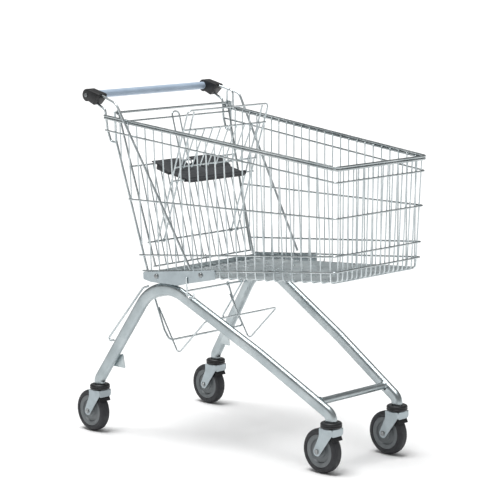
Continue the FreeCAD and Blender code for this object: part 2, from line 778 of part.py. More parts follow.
def carrier_frame():
    """Hanging U frame with an eye on each side."""
    x, z = carrier_pivot()
    y = CARRIER_HALF
    start = V(x + 3.6, -y, z - 8.6)
    low = [V(x + 40.0, -y, z - 94.0), V(x + 62.0, -y, z - 121.8)]
    points = [start] + low + [mirrored(low[1]), mirrored(low[0]), mirrored(start)]
    parts = [bent_rod(points, CARRIER_R, 12.0)]
    for side in (-1.0, 1.0):
        eye = Part.makeCylinder(8.0, 6.0, V(x, side * y - 3.0, z), V(0, 1, 0))
        bore = Part.makeCylinder(CARRIER_R + RUN_FIT, 20.0, V(x, side * y - 10.0, z), V(0, 1, 0))
        parts.append(eye.cut(bore))
    return group(parts)


def carrier_cradle():
    """V-shaped cradle wire that holds the lower edge of a crate."""
    x, z = carrier_pivot()
    y = CARRIER_HALF - CARRIER_R - CRADLE_R
    flat = [(x + 12.0, z - 30.0), (x + 92.0, z - 159.0), (x + 213.0, z - 48.0)]
    one = [V(px, -y, pz) for px, pz in flat]
    points = one + [mirrored(point) for point in reversed(one)]
    return bent_rod(points, CRADLE_R, 12.0)


# ------------------------------------------------------------ castors
RING_LOW = 131.4
CROWN_LOW = 128.0
CROWN_HIGH = 131.0
PIN_R = 6.0
AXLE_R = 4.0
CHEEK_IN = 20.5
CHEEK_T = 3.0
FORK_END_R = 13.0
CROWN_R = 26.0
HUB_HALF = 19.5
RIM_CORE_R = 46.0
CASTORS = [
    ("rear_right", 0.0, -REAR_TRACK / 2.0),
    ("rear_left", 0.0, REAR_TRACK / 2.0),
    ("front_right", WHEEL_BASE, -FRONT_TRACK / 2.0),
    ("front_left", WHEEL_BASE, FRONT_TRACK / 2.0),
]


def castor_stem(x, y):
    """Riveted pin that the fork turns on."""
    pin = Part.makeCylinder(PIN_R, TUBE_END_Z + 3.0 - 127.0, V(x, y, 127.0))
    head = Part.makeCylinder(9.5, 2.6, V(x, y, 125.0))
    return joined([pin, head])


def buffer_ring(x, y):
    """Plastic ring between the tube end and the fork."""
    high = TUBE_END_Z
    profile = [(PIN_R, RING_LOW), (26.5, RING_LOW), (30.0, RING_LOW + 3.5)]
    profile = profile + [(30.0, high - 4.5), (28.5, high - 1.5), (26.0, high), (PIN_R, high)]
    return revolve(profile, V(x, y, 0), axis_y=False)


def tangent_point(x, z, cx, cz, r, turn):
    """Point where a line from (x, z) touches a circle."""
    dx, dz = x - cx, z - cz
    gap = math.hypot(dx, dz)
    lean = math.atan2(dz, dx) + turn * math.acos(r / gap)
    return cx + r * math.cos(lean), cz + r * math.sin(lean)


def fork_cheek(x, y, side):
    """One side of the fork, from the crown down to the axle."""
    ax, az = x - TRAIL, WHEEL_R
    front_top = (x + 23.0, CROWN_HIGH)
    rear_top = (x - 25.0, CROWN_HIGH)
    fx, fz = tangent_point(front_top[0], front_top[1] - 16.0, ax, az, FORK_END_R, -1.0)
    rx, rz = tangent_point(rear_top[0], rear_top[1] - 22.0, ax, az, FORK_END_R, 1.0)
    inner = y + side * CHEEK_IN
    flat = [rear_top, front_top, (front_top[0], front_top[1] - 16.0), (fx, fz), (rx, rz)]
    flat = flat + [(rear_top[0], rear_top[1] - 22.0)]
    outline = [V(px, inner, pz) for px, pz in flat]
    sheet = plate(outline, V(0, side * CHEEK_T, 0))
    end = Part.makeCylinder(FORK_END_R, CHEEK_T, V(ax, inner, az), V(0, side, 0))
    return joined([sheet, end])


def fork(x, y):
    """Pressed fork: crown plate, two cheeks and the skirt that joins them in front."""
    crown = Part.makeCylinder(CROWN_R, CROWN_HIGH - CROWN_LOW, V(x, y, CROWN_LOW))
    skirt = Part.makeBox(3.0, 2 * CHEEK_IN, 22.0, V(x + 20.0, y - CHEEK_IN, CROWN_HIGH - 22.0))
    body = joined([crown, skirt, fork_cheek(x, y, -1.0), fork_cheek(x, y, 1.0)])
    hole = Part.makeCylinder(PIN_R + RUN_FIT, 30.0, V(x, y, 115.0))
    axle_hole = Part.makeCylinder(AXLE_R, 80.0, V(x - TRAIL, y - 40.0, WHEEL_R), V(0, 1, 0))
    return body.cut(hole).cut(axle_hole)


def thread_guard(x, y):
    """Curved plastic cover over the front of the wheel."""
    ax, az = x - TRAIL, WHEEL_R
    half = CHEEK_IN - 0.2
    outer = Part.makeCylinder(WHEEL_R + 7.0, 2 * half, V(ax, y - half, az), V(0, 1, 0))
    inner = Part.makeCylinder(WHEEL_R + 3.5, 2 * half + 2, V(ax, y - half - 1, az), V(0, 1, 0))
    reach = 2.0 * WHEEL_R
    low, high = math.radians(28.0), math.radians(54.0)
    wedge_points = [V(ax, y - half - 2, az)]
    for lean in (low, high):
        wedge_points.append(V(ax + reach * math.cos(lean), y - half - 2, az + reach * math.sin(lean)))
    wedge = plate(wedge_points, V(0, 2 * half + 4, 0))
    return outer.cut(inner).common(wedge)


def axle_bolt(x, y):
    ax, az = x - TRAIL, WHEEL_R
    reach = CHEEK_IN + CHEEK_T
    shaft = Part.makeCylinder(AXLE_R, 2 * reach, V(ax, y - reach, az), V(0, 1, 0))
    head = Part.makeCylinder(7.0, 4.0, V(ax, y - reach - 4.0, az), V(0, 1, 0))
    nut = Part.makeCylinder(7.0, 4.0, V(ax, y + reach, az), V(0, 1, 0))
    return joined([shaft, head, nut])


def wheel_core(x, y):
    """Moulded wheel body with stepped rings on both faces."""
    bore = AXLE_R + RUN_FIT
    half = [(bore, HUB_HALF), (11.0, HUB_HALF), (13.0, 12.0), (18.0, 12.0), (20.0, 8.0), (32.0, 8.0)]
    half = half + [(34.0, 12.5), (RIM_CORE_R, 14.0)]
    profile = half + [(radius, -along) for radius, along in reversed(half)]
    return revolve(profile, V(x - TRAIL, y, WHEEL_R))


def tyre(x, y):
    """Rubber tread with a flat running band and rounded shoulders."""
    edge = WHEEL_W / 2.0
    half = [(RIM_CORE_R, 14.0), (48.0, edge), (54.5, edge), (58.5, 13.5), (61.3, 10.0), (WHEEL_R, 6.0)]
    profile = half + [(radius, -along) for radius, along in reversed(half)]
    return revolve(profile, V(x - TRAIL, y, WHEEL_R))


# ------------------------------------------------------------ write every node
def main():
    os.makedirs("parts", exist_ok=True)
    for name, side in SIDES:
        save("chassis_tube_" + name, chassis_tube(side))
        save("side_plate_" + name, side_plate(side))
        save("side_wires_" + name, side_wires(side))
        save("rear_post_" + name, rear_post(side))
        save("handle_arm_" + name, upper_arm(side))
        save("end_cap_" + name, end_cap(side))
    save("leg_guards", group([leg_guard(side) for name, side in SIDES]))
    save("leg_brackets", group([leg_bracket(side) for name, side in SIDES]))
    save("handle_stays", group([lower_arm(side) for name, side in SIDES]))
    save("front_cross_tube", front_cross_tube())
    save("rear_strip", rear_strip())
    save("plate_bolts", plate_bolts())
    save("bag_hooks", bag_hooks())
    save("basket_rim", rim())
    save("line_wires", line_wires())
    save("floor_cross_wires", floor_cross_wires())
    save("floor_long_wires", floor_long_wires())
    save("front_wires", front_wires())
    save("left_loop", left_loop())
    save("hinge_rod", hinge_rod())
    save("handle_tube", handle_tube())
    save("cap_screws", cap_screws())
    save("flap_frame", flap_frame())
    save("flap_uprights", flap_uprights())
    save("leg_divider", group([leg_divider(), stop_loop()]))
    save("backrest_frame", group(backrest_frame() + backrest_bars()))
    save("backrest_grid", backrest_grid())
    save("seat_plate", seat_plate())
    save("carrier_rod", carrier_rod())
    save("carrier_frame", carrier_frame())
    save("carrier_cradle", carrier_cradle())
    save("castor_stems", group([castor_stem(x, y) for name, x, y in CASTORS]))
    save("castor_rings", group([buffer_ring(x, y) for name, x, y in CASTORS]))
    for name, x, y in CASTORS:
        save(name + "_fork", fork(x, y))
        save(name + "_guard", thread_guard(x, y))
        save(name + "_axle", axle_bolt(x, y))
        save(name + "_core", wheel_core(x, y))
        save(name + "_tyre", tyre(x, y))


main()
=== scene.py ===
# %% [markdown]
# Supermarket trolley: the looks. The CAD frame holds every size, joint and bearing. This file
# dresses it: each wire, tube, moulding and wheel is worked out as a surface and laid where the
# frame says it is. The frame could be shown as it is, but its wires are straight lengths; the
# real ones are bent from one piece, so most of them are made anew here.

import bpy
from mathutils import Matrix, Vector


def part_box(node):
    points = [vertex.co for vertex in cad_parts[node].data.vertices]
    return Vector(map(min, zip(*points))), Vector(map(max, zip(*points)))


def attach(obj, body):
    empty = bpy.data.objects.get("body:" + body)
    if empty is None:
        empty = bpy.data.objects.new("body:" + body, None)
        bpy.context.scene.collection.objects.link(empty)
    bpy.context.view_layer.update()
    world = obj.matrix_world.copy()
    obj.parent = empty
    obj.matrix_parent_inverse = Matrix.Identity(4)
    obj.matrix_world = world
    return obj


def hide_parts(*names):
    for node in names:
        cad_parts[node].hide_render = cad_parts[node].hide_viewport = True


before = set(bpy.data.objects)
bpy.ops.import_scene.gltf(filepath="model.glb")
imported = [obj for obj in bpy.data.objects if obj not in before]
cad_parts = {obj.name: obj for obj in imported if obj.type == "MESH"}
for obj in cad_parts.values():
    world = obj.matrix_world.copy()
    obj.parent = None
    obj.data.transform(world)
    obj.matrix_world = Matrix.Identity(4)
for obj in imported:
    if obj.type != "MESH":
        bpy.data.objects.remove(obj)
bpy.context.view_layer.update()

# %% [markdown]
# Numpy does the shape work and mathutils only turns the camera and the lamps.

import bpy
import numpy as np
from mathutils import Matrix, Vector

# %% [markdown]
# The trolley is measured from its rear castor pins, as a maker would: x is millimetres ahead of
# the pins, y is to the left, z is up from the floor. The frame's origin is under the middle of
# the trolley, so the pins' place is read from the frame and used as the shift.

# %% Measures taken from the frame
def box_mm(node):
    """Lowest and highest corner of a CAD node, in millimetres."""
    low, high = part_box(node)
    return np.array(low) * 1000, np.array(high) * 1000


pins_low, pins_high = box_mm("castor_stems")
PIN_HEAD_R = 9.5
PIN_X = pins_low[0] + PIN_HEAD_R
WHEEL_BASE = pins_high[0] - pins_low[0] - 2 * PIN_HEAD_R
REAR_TRACK = 2 * (pins_high[1] - PIN_HEAD_R)
tyre_low, tyre_high = box_mm("front_left_tyre")
FRONT_TRACK = tyre_low[1] + tyre_high[1]
WHEEL_R = (tyre_high[2] - tyre_low[2]) / 2
TYRE_HALF = (tyre_high[1] - tyre_low[1]) / 2
TRAIL = WHEEL_BASE - ((tyre_low[0] + tyre_high[0]) / 2 - PIN_X)
SIDES = {"right": -1.0, "left": 1.0}
print("wheel base %.1f, tracks %.1f and %.1f mm" % (WHEEL_BASE, REAR_TRACK, FRONT_TRACK))

# %% [markdown]
# Wire gauges. The rim and the posts are the thickest wires, the level wires come next, and the
# mesh that keeps shopping in is the thinnest.

# %% Wire gauges
RIM_R, POST_R, ARM_R = 3.5, 3.5, 3.5
LINE_R, MESH_R = 2.5, 2.0
LINE_STEP = LINE_R + MESH_R
PLATE_T, RUN_FIT = 3.0, 0.08
TUBE_DEEP, TUBE_WIDE = 36.0, 22.0

# %% [markdown]
# A new piece is a list of shells. Each shell is a dictionary: v is its points, f its faces,
# flow its points as they lay before bending, and edge how near a point is to a worn edge. Grain
# that is read from flow follows a bent tube round its bends.

# %% Shell helpers: a grid of rings
def unit(vectors):
    """Each vector divided by its own length."""
    vectors = np.asarray(vectors, float)
    return vectors / np.linalg.norm(vectors, axis=-1, keepdims=True)


def ring_faces(rows, rings, around, closed=False):
    """Four-cornered faces between neighbouring rings, for every row of rings at once."""
    last = rings if closed else rings - 1
    r, i, j = np.meshgrid(np.arange(rows), np.arange(last), np.arange(around), indexing="ij")
    near, far = i * around, (i + 1) % rings * around
    base = r * rings * around
    step = (j + 1) % around
    corners = [near + j, near + step, far + step, far + j]
    return np.stack([base + corner for corner in corners], -1).reshape(-1, 4)


def end_faces(rows, rings, around):
    """One flat face over each open end of every row."""
    base = np.arange(rows)[:, None] * rings * around
    ring = np.arange(around)[None]
    return np.concatenate([base + ring[:, ::-1], base + (rings - 1) * around + ring])


def shell(points, faces, flow, edge=None):
    """A shell whose faces all point outwards: if its signed volume is negative it is turned over."""
    fans = [(f[:, :1].repeat(f.shape[1] - 2, 1), f[:, 1:-1], f[:, 2:]) for f in faces]
    a, b, c = (np.concatenate([points[fan[k].ravel()] for fan in fans]) for k in range(3))
    if np.einsum("ij,ij->", a - points.mean(0), np.cross(b - points.mean(0), c - points.mean(0))) < 0:
        faces = [f[:, ::-1] for f in faces]
    edge = np.zeros(len(points)) if edge is None else edge
    return {"v": points, "f": faces, "flow": flow, "edge": edge}

# %% [markdown]
# Bent wire and tube are a section carried along a centre line. The centre line is given by its
# corners, and each corner is rounded on the radius of the bending former.

# %% Centre lines with rounded corners
def rounded(corners, bend, steps=6, closed=False):
    """Points of a line whose corners are arcs: centre + radius * (cos a * out + sin a * ahead)."""
    line = np.asarray(corners, float)
    before, here, after = line[:-2], line[1:-1], line[2:]
    if closed:
        before, here, after = np.roll(line, 1, 0), line, np.roll(line, -1, 0)
    radius = np.broadcast_to(np.asarray(bend, float), len(here))[:, None]
    back, ahead = unit(before - here), unit(after - here)
    half = np.arccos(np.clip((back * ahead).sum(-1, keepdims=True), -1, 1)) / 2
    start = here + back * radius / np.tan(half)
    centre = here + unit(back + ahead) * radius / np.sin(half)
    turn = np.linspace(0, 1, steps + 1)[None, :, None] * (np.pi - 2 * half)[:, None]
    arcs = centre[:, None] + np.cos(turn) * (start - centre)[:, None]
    arcs = (arcs - np.sin(turn) * (back * radius)[:, None]).reshape(-1, line.shape[1])
    return arcs if closed else np.concatenate([line[:1], arcs, line[-1:]])


def circle(radius, around=10):
    """Points at radius * (cos a, sin a)."""
    a = np.arange(around) * 2 * np.pi / around
    return radius * np.stack([np.cos(a), np.sin(a)], -1)


def flat_oval(deep, wide, around=24):
    """A circle of the narrow width, with its two halves moved apart to the full depth."""
    a = (np.arange(around) + 0.5) * 2 * np.pi / around
    ring = wide / 2 * np.stack([np.cos(a), np.sin(a)], -1)
    return ring + np.stack([0 * a, np.sign(np.sin(a)) * (deep - wide) / 2], -1)

# %% [markdown]
# The sweep takes many centre lines at once, because a basket has dozens of equal wires. The cut
# ends get a small chamfer, as shears leave them, and are closed.

# %% Sweep
def sweep(paths, section, side_way, chamfer=0.5):
    """centre + section x * side + section y * (along x side), with a smaller ring at each cut end."""
    paths = np.asarray(paths, float)
    paths = paths[None] if paths.ndim == 2 else paths
    steps = unit(np.diff(paths, axis=1))
    along = unit(np.concatenate([steps[:, :1], steps[:, :-1] + steps[:, 1:], steps[:, -1:]], 1))
    first, last = paths[:, :1] + along[:, :1] * chamfer, paths[:, -1:] - along[:, -1:] * chamfer
    line = np.concatenate([paths[:, :1], first, paths[:, 1:-1], last, paths[:, -1:]], 1)
    along = np.concatenate([along[:, :1], along, along[:, -1:]], 1)
    side = np.broadcast_to(np.asarray(side_way, float), (len(paths), 3))[:, None]
    side = unit(side - (side * along).sum(-1, keepdims=True) * along)
    away = np.cross(along, side)
    rows, rings, around = len(line), line.shape[1], len(section)
    size = np.ones(rings)
    size[[0, -1]] = 1 - chamfer / np.abs(section).max()
    flat = section[None, None] * size[None, :, None, None]
    points = line[:, :, None] + flat[..., :1] * side[:, :, None] + flat[..., 1:] * away[:, :, None]
    run = np.cumsum(np.linalg.norm(np.diff(line, axis=1, prepend=line[:, :1]), axis=-1), 1)
    run = run + 137.0 * np.arange(rows)[:, None]
    flow = np.concatenate([np.broadcast_to(run[:, :, None, None], points.shape[:3] + (1,)),
                           np.broadcast_to(flat, points.shape[:3] + (2,))], -1)
    edge = np.broadcast_to(((size < 1) * 1.0)[None, :, None], points.shape[:3])
    faces = [ring_faces(rows, rings, around), end_faces(rows, rings, around)]
    return shell(points.reshape(-1, 3), faces, flow.reshape(-1, 3), edge.reshape(-1))


def wire(paths, radius, side_way=(0, 1, 0), around=10):
    """Round wire along one or many centre lines."""
    return sweep(paths, circle(radius, around), side_way, min(0.5, radius / 4))

# %% [markdown]
# Wheels, rings, bolt heads and the handle are turned shapes: a profile of radius and height
# spun round an axis. A profile that closes on itself gives a ring; an open one gets flat ends.

# %% Turned shapes
def turned(profile, centre, axis="y", around=48, ring=False):
    """radius * cos a and radius * sin a across the axis, height along it, for a full turn."""
    profile = np.asarray(profile, float)
    a = (np.arange(around) + 0.5) * 2 * np.pi / around
    out, up = profile[:, :1], np.broadcast_to(profile[:, 1:], (len(profile), around))
    cosine, sine = out * np.cos(a), out * np.sin(a)
    across = [cosine, up, sine] if axis == "y" else [cosine, sine, up]
    points = np.stack(across, -1).reshape(-1, 3) + np.asarray(centre, float)
    flow = np.stack([up, cosine, sine], -1).reshape(-1, 3)
    faces = [ring_faces(1, len(profile), around, ring)]
    if not ring:
        faces.append(end_faces(1, len(profile), around))
    return shell(points, faces, flow)


def both_faces(half):
    """A profile followed by its own mirror image."""
    return half + [(radius, -height) for radius, height in reversed(half)]


def moved(part, way):
    """The same shell moved by way."""
    return {**part, "v": part["v"] + np.asarray(way, float)}

# %% [markdown]
# Sheet parts are pressed plates: an outline drawn in the plate's own two directions, with its
# corners rounded, and a thickness. Both rims get a small chamfer that catches the light.

# %% Pressed plates
def shrunk(outline, inset):
    """Each outline point moved inwards along the average of its two sides' normals."""
    ahead = unit(np.roll(outline, -1, 0) - outline)
    normal = np.stack([-ahead[:, 1], ahead[:, 0]], -1)
    mean = unit(normal + np.roll(normal, 1, 0))
    reach = inset / np.clip((mean * normal).sum(-1, keepdims=True), 0.4, 1)
    nxt = np.roll(outline, -1, 0)
    turn = np.sign((outline[:, 0] * nxt[:, 1] - nxt[:, 0] * outline[:, 1]).sum())
    return outline + mean * reach * turn


def layered(layers, lay):
    """Closed outlines stacked at their depths: origin + u * a + v * b + depth * c, as lay says."""
    origin, a, b, c = (np.asarray(part, float) for part in lay)
    flat = np.concatenate([np.column_stack([ring, np.full(len(ring), depth)]) for ring, depth, _ in layers])
    edge = np.concatenate([np.full(len(ring), worn) for ring, _, worn in layers])
    points = origin + flat[:, :1] * a + flat[:, 1:2] * b + flat[:, 2:] * c
    rings, around = len(layers), len(layers[0][0])
    return shell(points, [ring_faces(1, rings, around), end_faces(1, rings, around)], flat, edge)


def slab(outline, lay, thick, chamfer, wear=0.6):
    """An outline at four depths: inset on both faces and full between them."""
    small = shrunk(outline, chamfer)
    full = [(outline, chamfer, 1), (outline, thick - chamfer, 1)]
    return layered([(small, 0, wear)] + full + [(small, thick, wear)], lay)


def pressed(corners, bend, lay, thick, chamfer=0.5, steps=4):
    """A slab whose outline is rounded at its corners."""
    return slab(rounded(corners, bend, steps, closed=True), lay, thick, chamfer)

# %% [markdown]
# One function turns shells into a piece of the trolley. It writes the points in metres at their
# place in the frame, keeps flow and edge as attributes for the finishes, lets the piece ride on
# its body, and says which CAD nodes it stands for.

# %% Make a piece
def write_mesh(name, shells):
    """All shells joined in one mesh, with millimetres turned into metres ahead of the frame's origin."""
    counts = np.cumsum([0] + [len(part["v"]) for part in shells])
    points = (np.concatenate([part["v"] for part in shells]) + [PIN_X, 0, 0]) / 1000
    faces = [f + start for part, start in zip(shells, counts) for f in part["f"]]
    sizes = np.concatenate([np.full(len(f), f.shape[1]) for f in faces])
    mesh = bpy.data.meshes.new(name)
    mesh.vertices.add(len(points))
    mesh.vertices.foreach_set("co", points.ravel())
    mesh.loops.add(int(sizes.sum()))
    mesh.loops.foreach_set("vertex_index", np.concatenate([f.ravel() for f in faces]).astype(np.int32))
    mesh.polygons.add(len(sizes))
    mesh.polygons.foreach_set("loop_start", (np.cumsum(sizes) - sizes).astype(np.int32))
    flow = mesh.attributes.new("flow", "FLOAT_VECTOR", "POINT")
    flow.data.foreach_set("vector", np.concatenate([part["flow"] for part in shells]).ravel() / 1000)
    edge = mesh.attributes.new("edge", "FLOAT", "POINT")
    edge.data.foreach_set("value", np.concatenate([part["edge"] for part in shells]))
    mesh.update(calc_edges=True)
    return mesh


def piece(name, nodes, shells, finish, body="trolley_frame", crease=35):
    """Adds the mesh, shades it smooth except at sharp edges, and ties it to the frame."""
    mesh = write_mesh(name, shells)
    mesh.shade_smooth()
    mesh.set_sharp_from_angle(angle=np.radians(crease))
    mesh.materials.append(finish)
    thing = bpy.data.objects.new(name, mesh)
    bpy.context.scene.collection.objects.link(thing)
    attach(thing, body)
    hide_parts(*nodes)
    print("%-22s %6d faces for %s" % (name, len(mesh.polygons), ", ".join(nodes)))
    return thing

# %% [markdown]
# Every finish is a Principled shader. Patterns come from noise read at Object coordinates, or
# at flow where the grain follows a bend. These helpers place the nodes.

# %% Finish helpers
def start_finish(name, metallic, ior=1.45, coat=0.0):
    """A material with its Principled shader; what never varies is set on the shader itself."""
    finish = bpy.data.materials.new(name)
    finish.use_nodes = True
    shader = finish.node_tree.nodes["Principled BSDF"]
    shader.inputs["Metallic"].default_value = metallic
    shader.inputs["IOR"].default_value = ior
    shader.inputs["Coat Weight"].default_value = coat
    shader.inputs["Coat Roughness"].default_value = 0.2
    return finish, finish.node_tree, shader


def node(tree, kind, **settings):
    """A new shader node with its properties or input values set."""
    made = tree.nodes.new(kind)
    for key, value in settings.items():
        if hasattr(made, key):
            setattr(made, key, value)
        else:
            made.inputs[key.replace("_", " ").title()].default_value = value
    return made


def coordinates(tree, stretch=(1, 1, 1), flow=False):
    """Object coordinates or the flow attribute, stretched along its three directions."""
    mapping = tree.nodes.new("ShaderNodeMapping")
    mapping.inputs["Scale"].default_value = stretch
    if flow:
        source = node(tree, "ShaderNodeAttribute", attribute_name="flow").outputs["Vector"]
    else:
        source = tree.nodes.new("ShaderNodeTexCoord").outputs["Object"]
    tree.links.new(source, mapping.inputs["Vector"])
    return mapping.outputs["Vector"]


def noise(tree, where, scale, detail=3.0, roughness=0.55):
    """Smooth random values at that many waves to the metre."""
    made = node(tree, "ShaderNodeTexNoise", scale=scale, detail=detail, roughness=roughness)
    tree.links.new(where, made.inputs["Vector"])
    return made.outputs["Fac"]


def ramp(tree, value, *stops):
    """Colours or greys placed along a value from 0 to 1."""
    made = tree.nodes.new("ShaderNodeValToRGB")
    marks = made.color_ramp.elements
    while len(marks) < len(stops):
        marks.new(0.5)
    for mark, (place, colour) in zip(marks, stops):
        mark.position = place
        mark.color = (*((colour,) * 3 if np.isscalar(colour) else colour), 1)
    tree.links.new(value, made.inputs["Fac"])
    return made.outputs["Color"]


def blend_colours(tree, share, first, second):
    """First where share is 0, second where it is 1."""
    made = tree.nodes.new("ShaderNodeMix")
    made.data_type = "RGBA"
    tree.links.new(share, made.inputs["Factor"])
    colour_in = [i for i in made.inputs if i.type == "RGBA"]
    tree.links.new(first, colour_in[0])
    tree.links.new(second, colour_in[1])
    return [o for o in made.outputs if o.type == "RGBA"][0]


def feed(tree, shader, **values):
    """Links each value to the shader's socket of that name."""
    for key, value in values.items():
        tree.links.new(value, shader.inputs[key.replace("_", " ").title()])


def bump(tree, shader, height, distance, strength=1.0):
    """Raises the surface by a height that goes from 0 to distance in metres."""
    made = node(tree, "ShaderNodeBump", strength=strength, distance=distance)
    tree.links.new(height, made.inputs["Height"])
    tree.links.new(made.outputs["Normal"], shader.inputs["Normal"])

# %% [markdown]
# Zinc plate on wire: a cool grey metal under a thin clear lacquer. Plating is a little thicker
# at one end of a rack than the other, so the tone drifts over some centimetres, and fine
# drawing lines run along each wire. Rubbed places are brighter and smoother. The rim, the level
# wires, the hinge bar and the flap wires take a darker copy of this zinc: that darker tone is painted
# shade.

# %% Finish: zinc wire
def zinc_finish(name, dark, mid, bright, rough, line_wave, spangle=0.0):
    finish, tree, shader = start_finish(name, 1.0, coat=0.15)
    where, along = coordinates(tree), coordinates(tree, (0.03, 1, 1), flow=True)
    drift = noise(tree, where, 14, 4)
    tone = ramp(tree, drift, (0.3, dark), (0.52, mid), (0.72, bright))
    stain = ramp(tree, noise(tree, where, 90, 5, 0.7), (0.28, 1.0), (0.40, 0.0))
    dull = ramp(tree, noise(tree, where, 33, 2), (0.3, dark), (0.7, [0.86 * c for c in dark]))
    tone = blend_colours(tree, stain, tone, dull)
    worn = node(tree, "ShaderNodeAttribute", attribute_name="edge").outputs["Fac"]
    shine = ramp(tree, noise(tree, where, 60, 2), (0.35, [1.12 * c for c in bright]), (0.7, bright))
    drawn = noise(tree, along, line_wave, 2)
    low, high = rough
    patch = ramp(tree, noise(tree, where, 40, 5), (0.3, low), (0.7, high))
    feed(tree, shader, base_color=blend_colours(tree, worn, tone, shine), roughness=patch)
    bump(tree, shader, drawn, 0.00008 + spangle, 0.35)
    return finish


ZINC_WIRE = zinc_finish("zinc_wire", (0.46, 0.51, 0.525), (0.57, 0.62, 0.635), (0.67, 0.715, 0.725),
                        (0.24, 0.42), 1400)
# Painted shade: the same zinc in darker tones, standing in for the darker reflections that wires running
# level pick up.
SHADE_PAINTED_WIRE = zinc_finish("shade_painted_wire", (0.36, 0.40, 0.41), (0.46, 0.50, 0.51), (0.56, 0.595, 0.60),
                         (0.18, 0.34), 1100)
print("made", ZINC_WIRE.name, SHADE_PAINTED_WIRE.name)

# %% [markdown]
# The tubes come from the same plating line but are larger and flatter, and handling marks show
# as faint patches. Side plates and forks are cold-rolled sheet, darker and bluer.

# %% Finish: zinc sheet and tube, bolts
ZINC_STEEL = zinc_finish("zinc_steel", (0.36, 0.41, 0.425), (0.43, 0.48, 0.495), (0.51, 0.56, 0.57),
                         (0.28, 0.44), 900)
PLATE_STEEL = zinc_finish("plate_steel", (0.25, 0.30, 0.325), (0.32, 0.375, 0.40), (0.40, 0.45, 0.47),
                          (0.3, 0.46), 700)
BOLT_STEEL = zinc_finish("bolt_steel", (0.22, 0.235, 0.24), (0.30, 0.315, 0.32), (0.40, 0.41, 0.41),
                         (0.3, 0.45), 2200)
print("made", ZINC_STEEL.name, PLATE_STEEL.name, BOLT_STEEL.name)

# %% [markdown]
# Mouldings are plastics of one colour with a spark-eroded grain. Corners that hands and kerbs
# reach are polished smoother and go paler; dust sits in the grain as a faint bloom.

# %% Finish: moulded plastics
def moulded_finish(name, dark, light, rough, grain, depth, coat=0.0, scuff=None):
    finish, tree, shader = start_finish(name, 0.0, 1.49, coat)
    where = coordinates(tree)
    tone = ramp(tree, noise(tree, where, 22, 4), (0.32, dark), (0.7, light))
    scuff = scuff or [min(1.0, 1.9 * c + 0.02) for c in light]
    rub = ramp(tree, noise(tree, where, 150, 5, 0.75), (0.62, 0.0), (0.74, 0.7))
    pale = ramp(tree, noise(tree, where, 48, 2), (0.3, scuff), (0.7, [0.9 * c for c in scuff]))
    patch = ramp(tree, noise(tree, where, 60, 4), (0.3, rough[0]), (0.7, rough[1]))
    feed(tree, shader, base_color=blend_colours(tree, rub, tone, pale), roughness=patch)
    bump(tree, shader, noise(tree, where, grain, 2), depth, 0.5)
    return finish


BLACK_PLASTIC = moulded_finish("black_plastic", (0.005, 0.0055, 0.006), (0.011, 0.012, 0.014),
                               (0.34, 0.5), 900, 0.00025)
SEAT_PLASTIC = moulded_finish("seat_plastic", (0.018, 0.020, 0.023), (0.032, 0.035, 0.039),
                              (0.42, 0.6), 700, 0.0004)
HANDLE_PLASTIC = moulded_finish("handle_plastic", (0.37, 0.47, 0.59), (0.44, 0.54, 0.66),
                                (0.3, 0.42), 500, 0.00008, 0.3)
WHEEL_PLASTIC = moulded_finish("wheel_plastic", (0.12, 0.135, 0.142), (0.16, 0.175, 0.182),
                               (0.38, 0.55), 600, 0.0002)
print("made", BLACK_PLASTIC.name, SEAT_PLASTIC.name, HANDLE_PLASTIC.name, WHEEL_PLASTIC.name)

# %% [markdown]
# The tread is a dark grey rubber that doesn't mark floors. Its running band is matt with shop
# dust, in streaks that follow the turning of the wheel.

# %% Finish: tyre rubber
def rubber_finish():
    """Two greys by noise, a dust streak by noise stretched round the wheel, and a fine grain."""
    finish, tree, shader = start_finish("tyre_rubber", 0.0, 1.5)
    where = coordinates(tree)
    tone = ramp(tree, noise(tree, where, 35, 4), (0.3, (0.013, 0.014, 0.017)), (0.7, (0.023, 0.025, 0.029)))
    dust = ramp(tree, noise(tree, coordinates(tree, (9, 1, 1), flow=True), 60, 4), (0.5, 0.0), (0.75, 0.4))
    grit = ramp(tree, noise(tree, where, 300, 3), (0.3, (0.05, 0.052, 0.052)), (0.7, (0.075, 0.077, 0.076)))
    patch = ramp(tree, noise(tree, where, 80, 4), (0.3, 0.5), (0.7, 0.72))
    feed(tree, shader, base_color=blend_colours(tree, dust, tone, grit), roughness=patch)
    bump(tree, shader, noise(tree, where, 800, 3), 0.0003, 0.5)
    return finish


TYRE_RUBBER = rubber_finish()
print("made", TYRE_RUBBER.name)

# %% [markdown]
# The side walls of the basket are planes that lean outwards towards the top and close in
# towards the front. Each wall is one slope in x and one in z, found from three points: the
# rim's two ends and the foot of the front corner. Everything on a wall is placed with these.

# %% Side walls, front wall, rim line and floor line
RIM_REAR, RIM_FRONT = (102.0, 944.5), (926.0, 846.9)
RIM_HALF_REAR, RIM_HALF_FRONT = 237.7, 180.0
LOW_FRONT, LOW_HALF_FRONT = (910.1, 568.8), 174.2
corners = np.array([[1, *RIM_REAR], [1, *RIM_FRONT], [1, *LOW_FRONT]])
WALL = np.linalg.solve(corners, [RIM_HALF_REAR, RIM_HALF_FRONT, LOW_HALF_FRONT])
WALL_STEEP = np.hypot(1, np.hypot(WALL[1], WALL[2]))
FRONT_LEAN = (RIM_FRONT[0] - LOW_FRONT[0]) / (RIM_FRONT[1] - LOW_FRONT[1])
RIM_SLOPE = (RIM_FRONT[1] - RIM_REAR[1]) / (RIM_FRONT[0] - RIM_REAR[0])
FLOOR_REAR, FLOOR_SLOPE = (210.0, 490.0), 0.0681


def wall(x, z, side, out=0.0):
    """Half width = constant + slope x * x + slope z * z, plus out square to the wall."""
    x, z, out = np.broadcast_arrays(np.asarray(x, float), z, out)
    half = WALL[0] + WALL[1] * x + WALL[2] * z + out * WALL_STEEP
    return np.stack([x, side * half, z], -1)


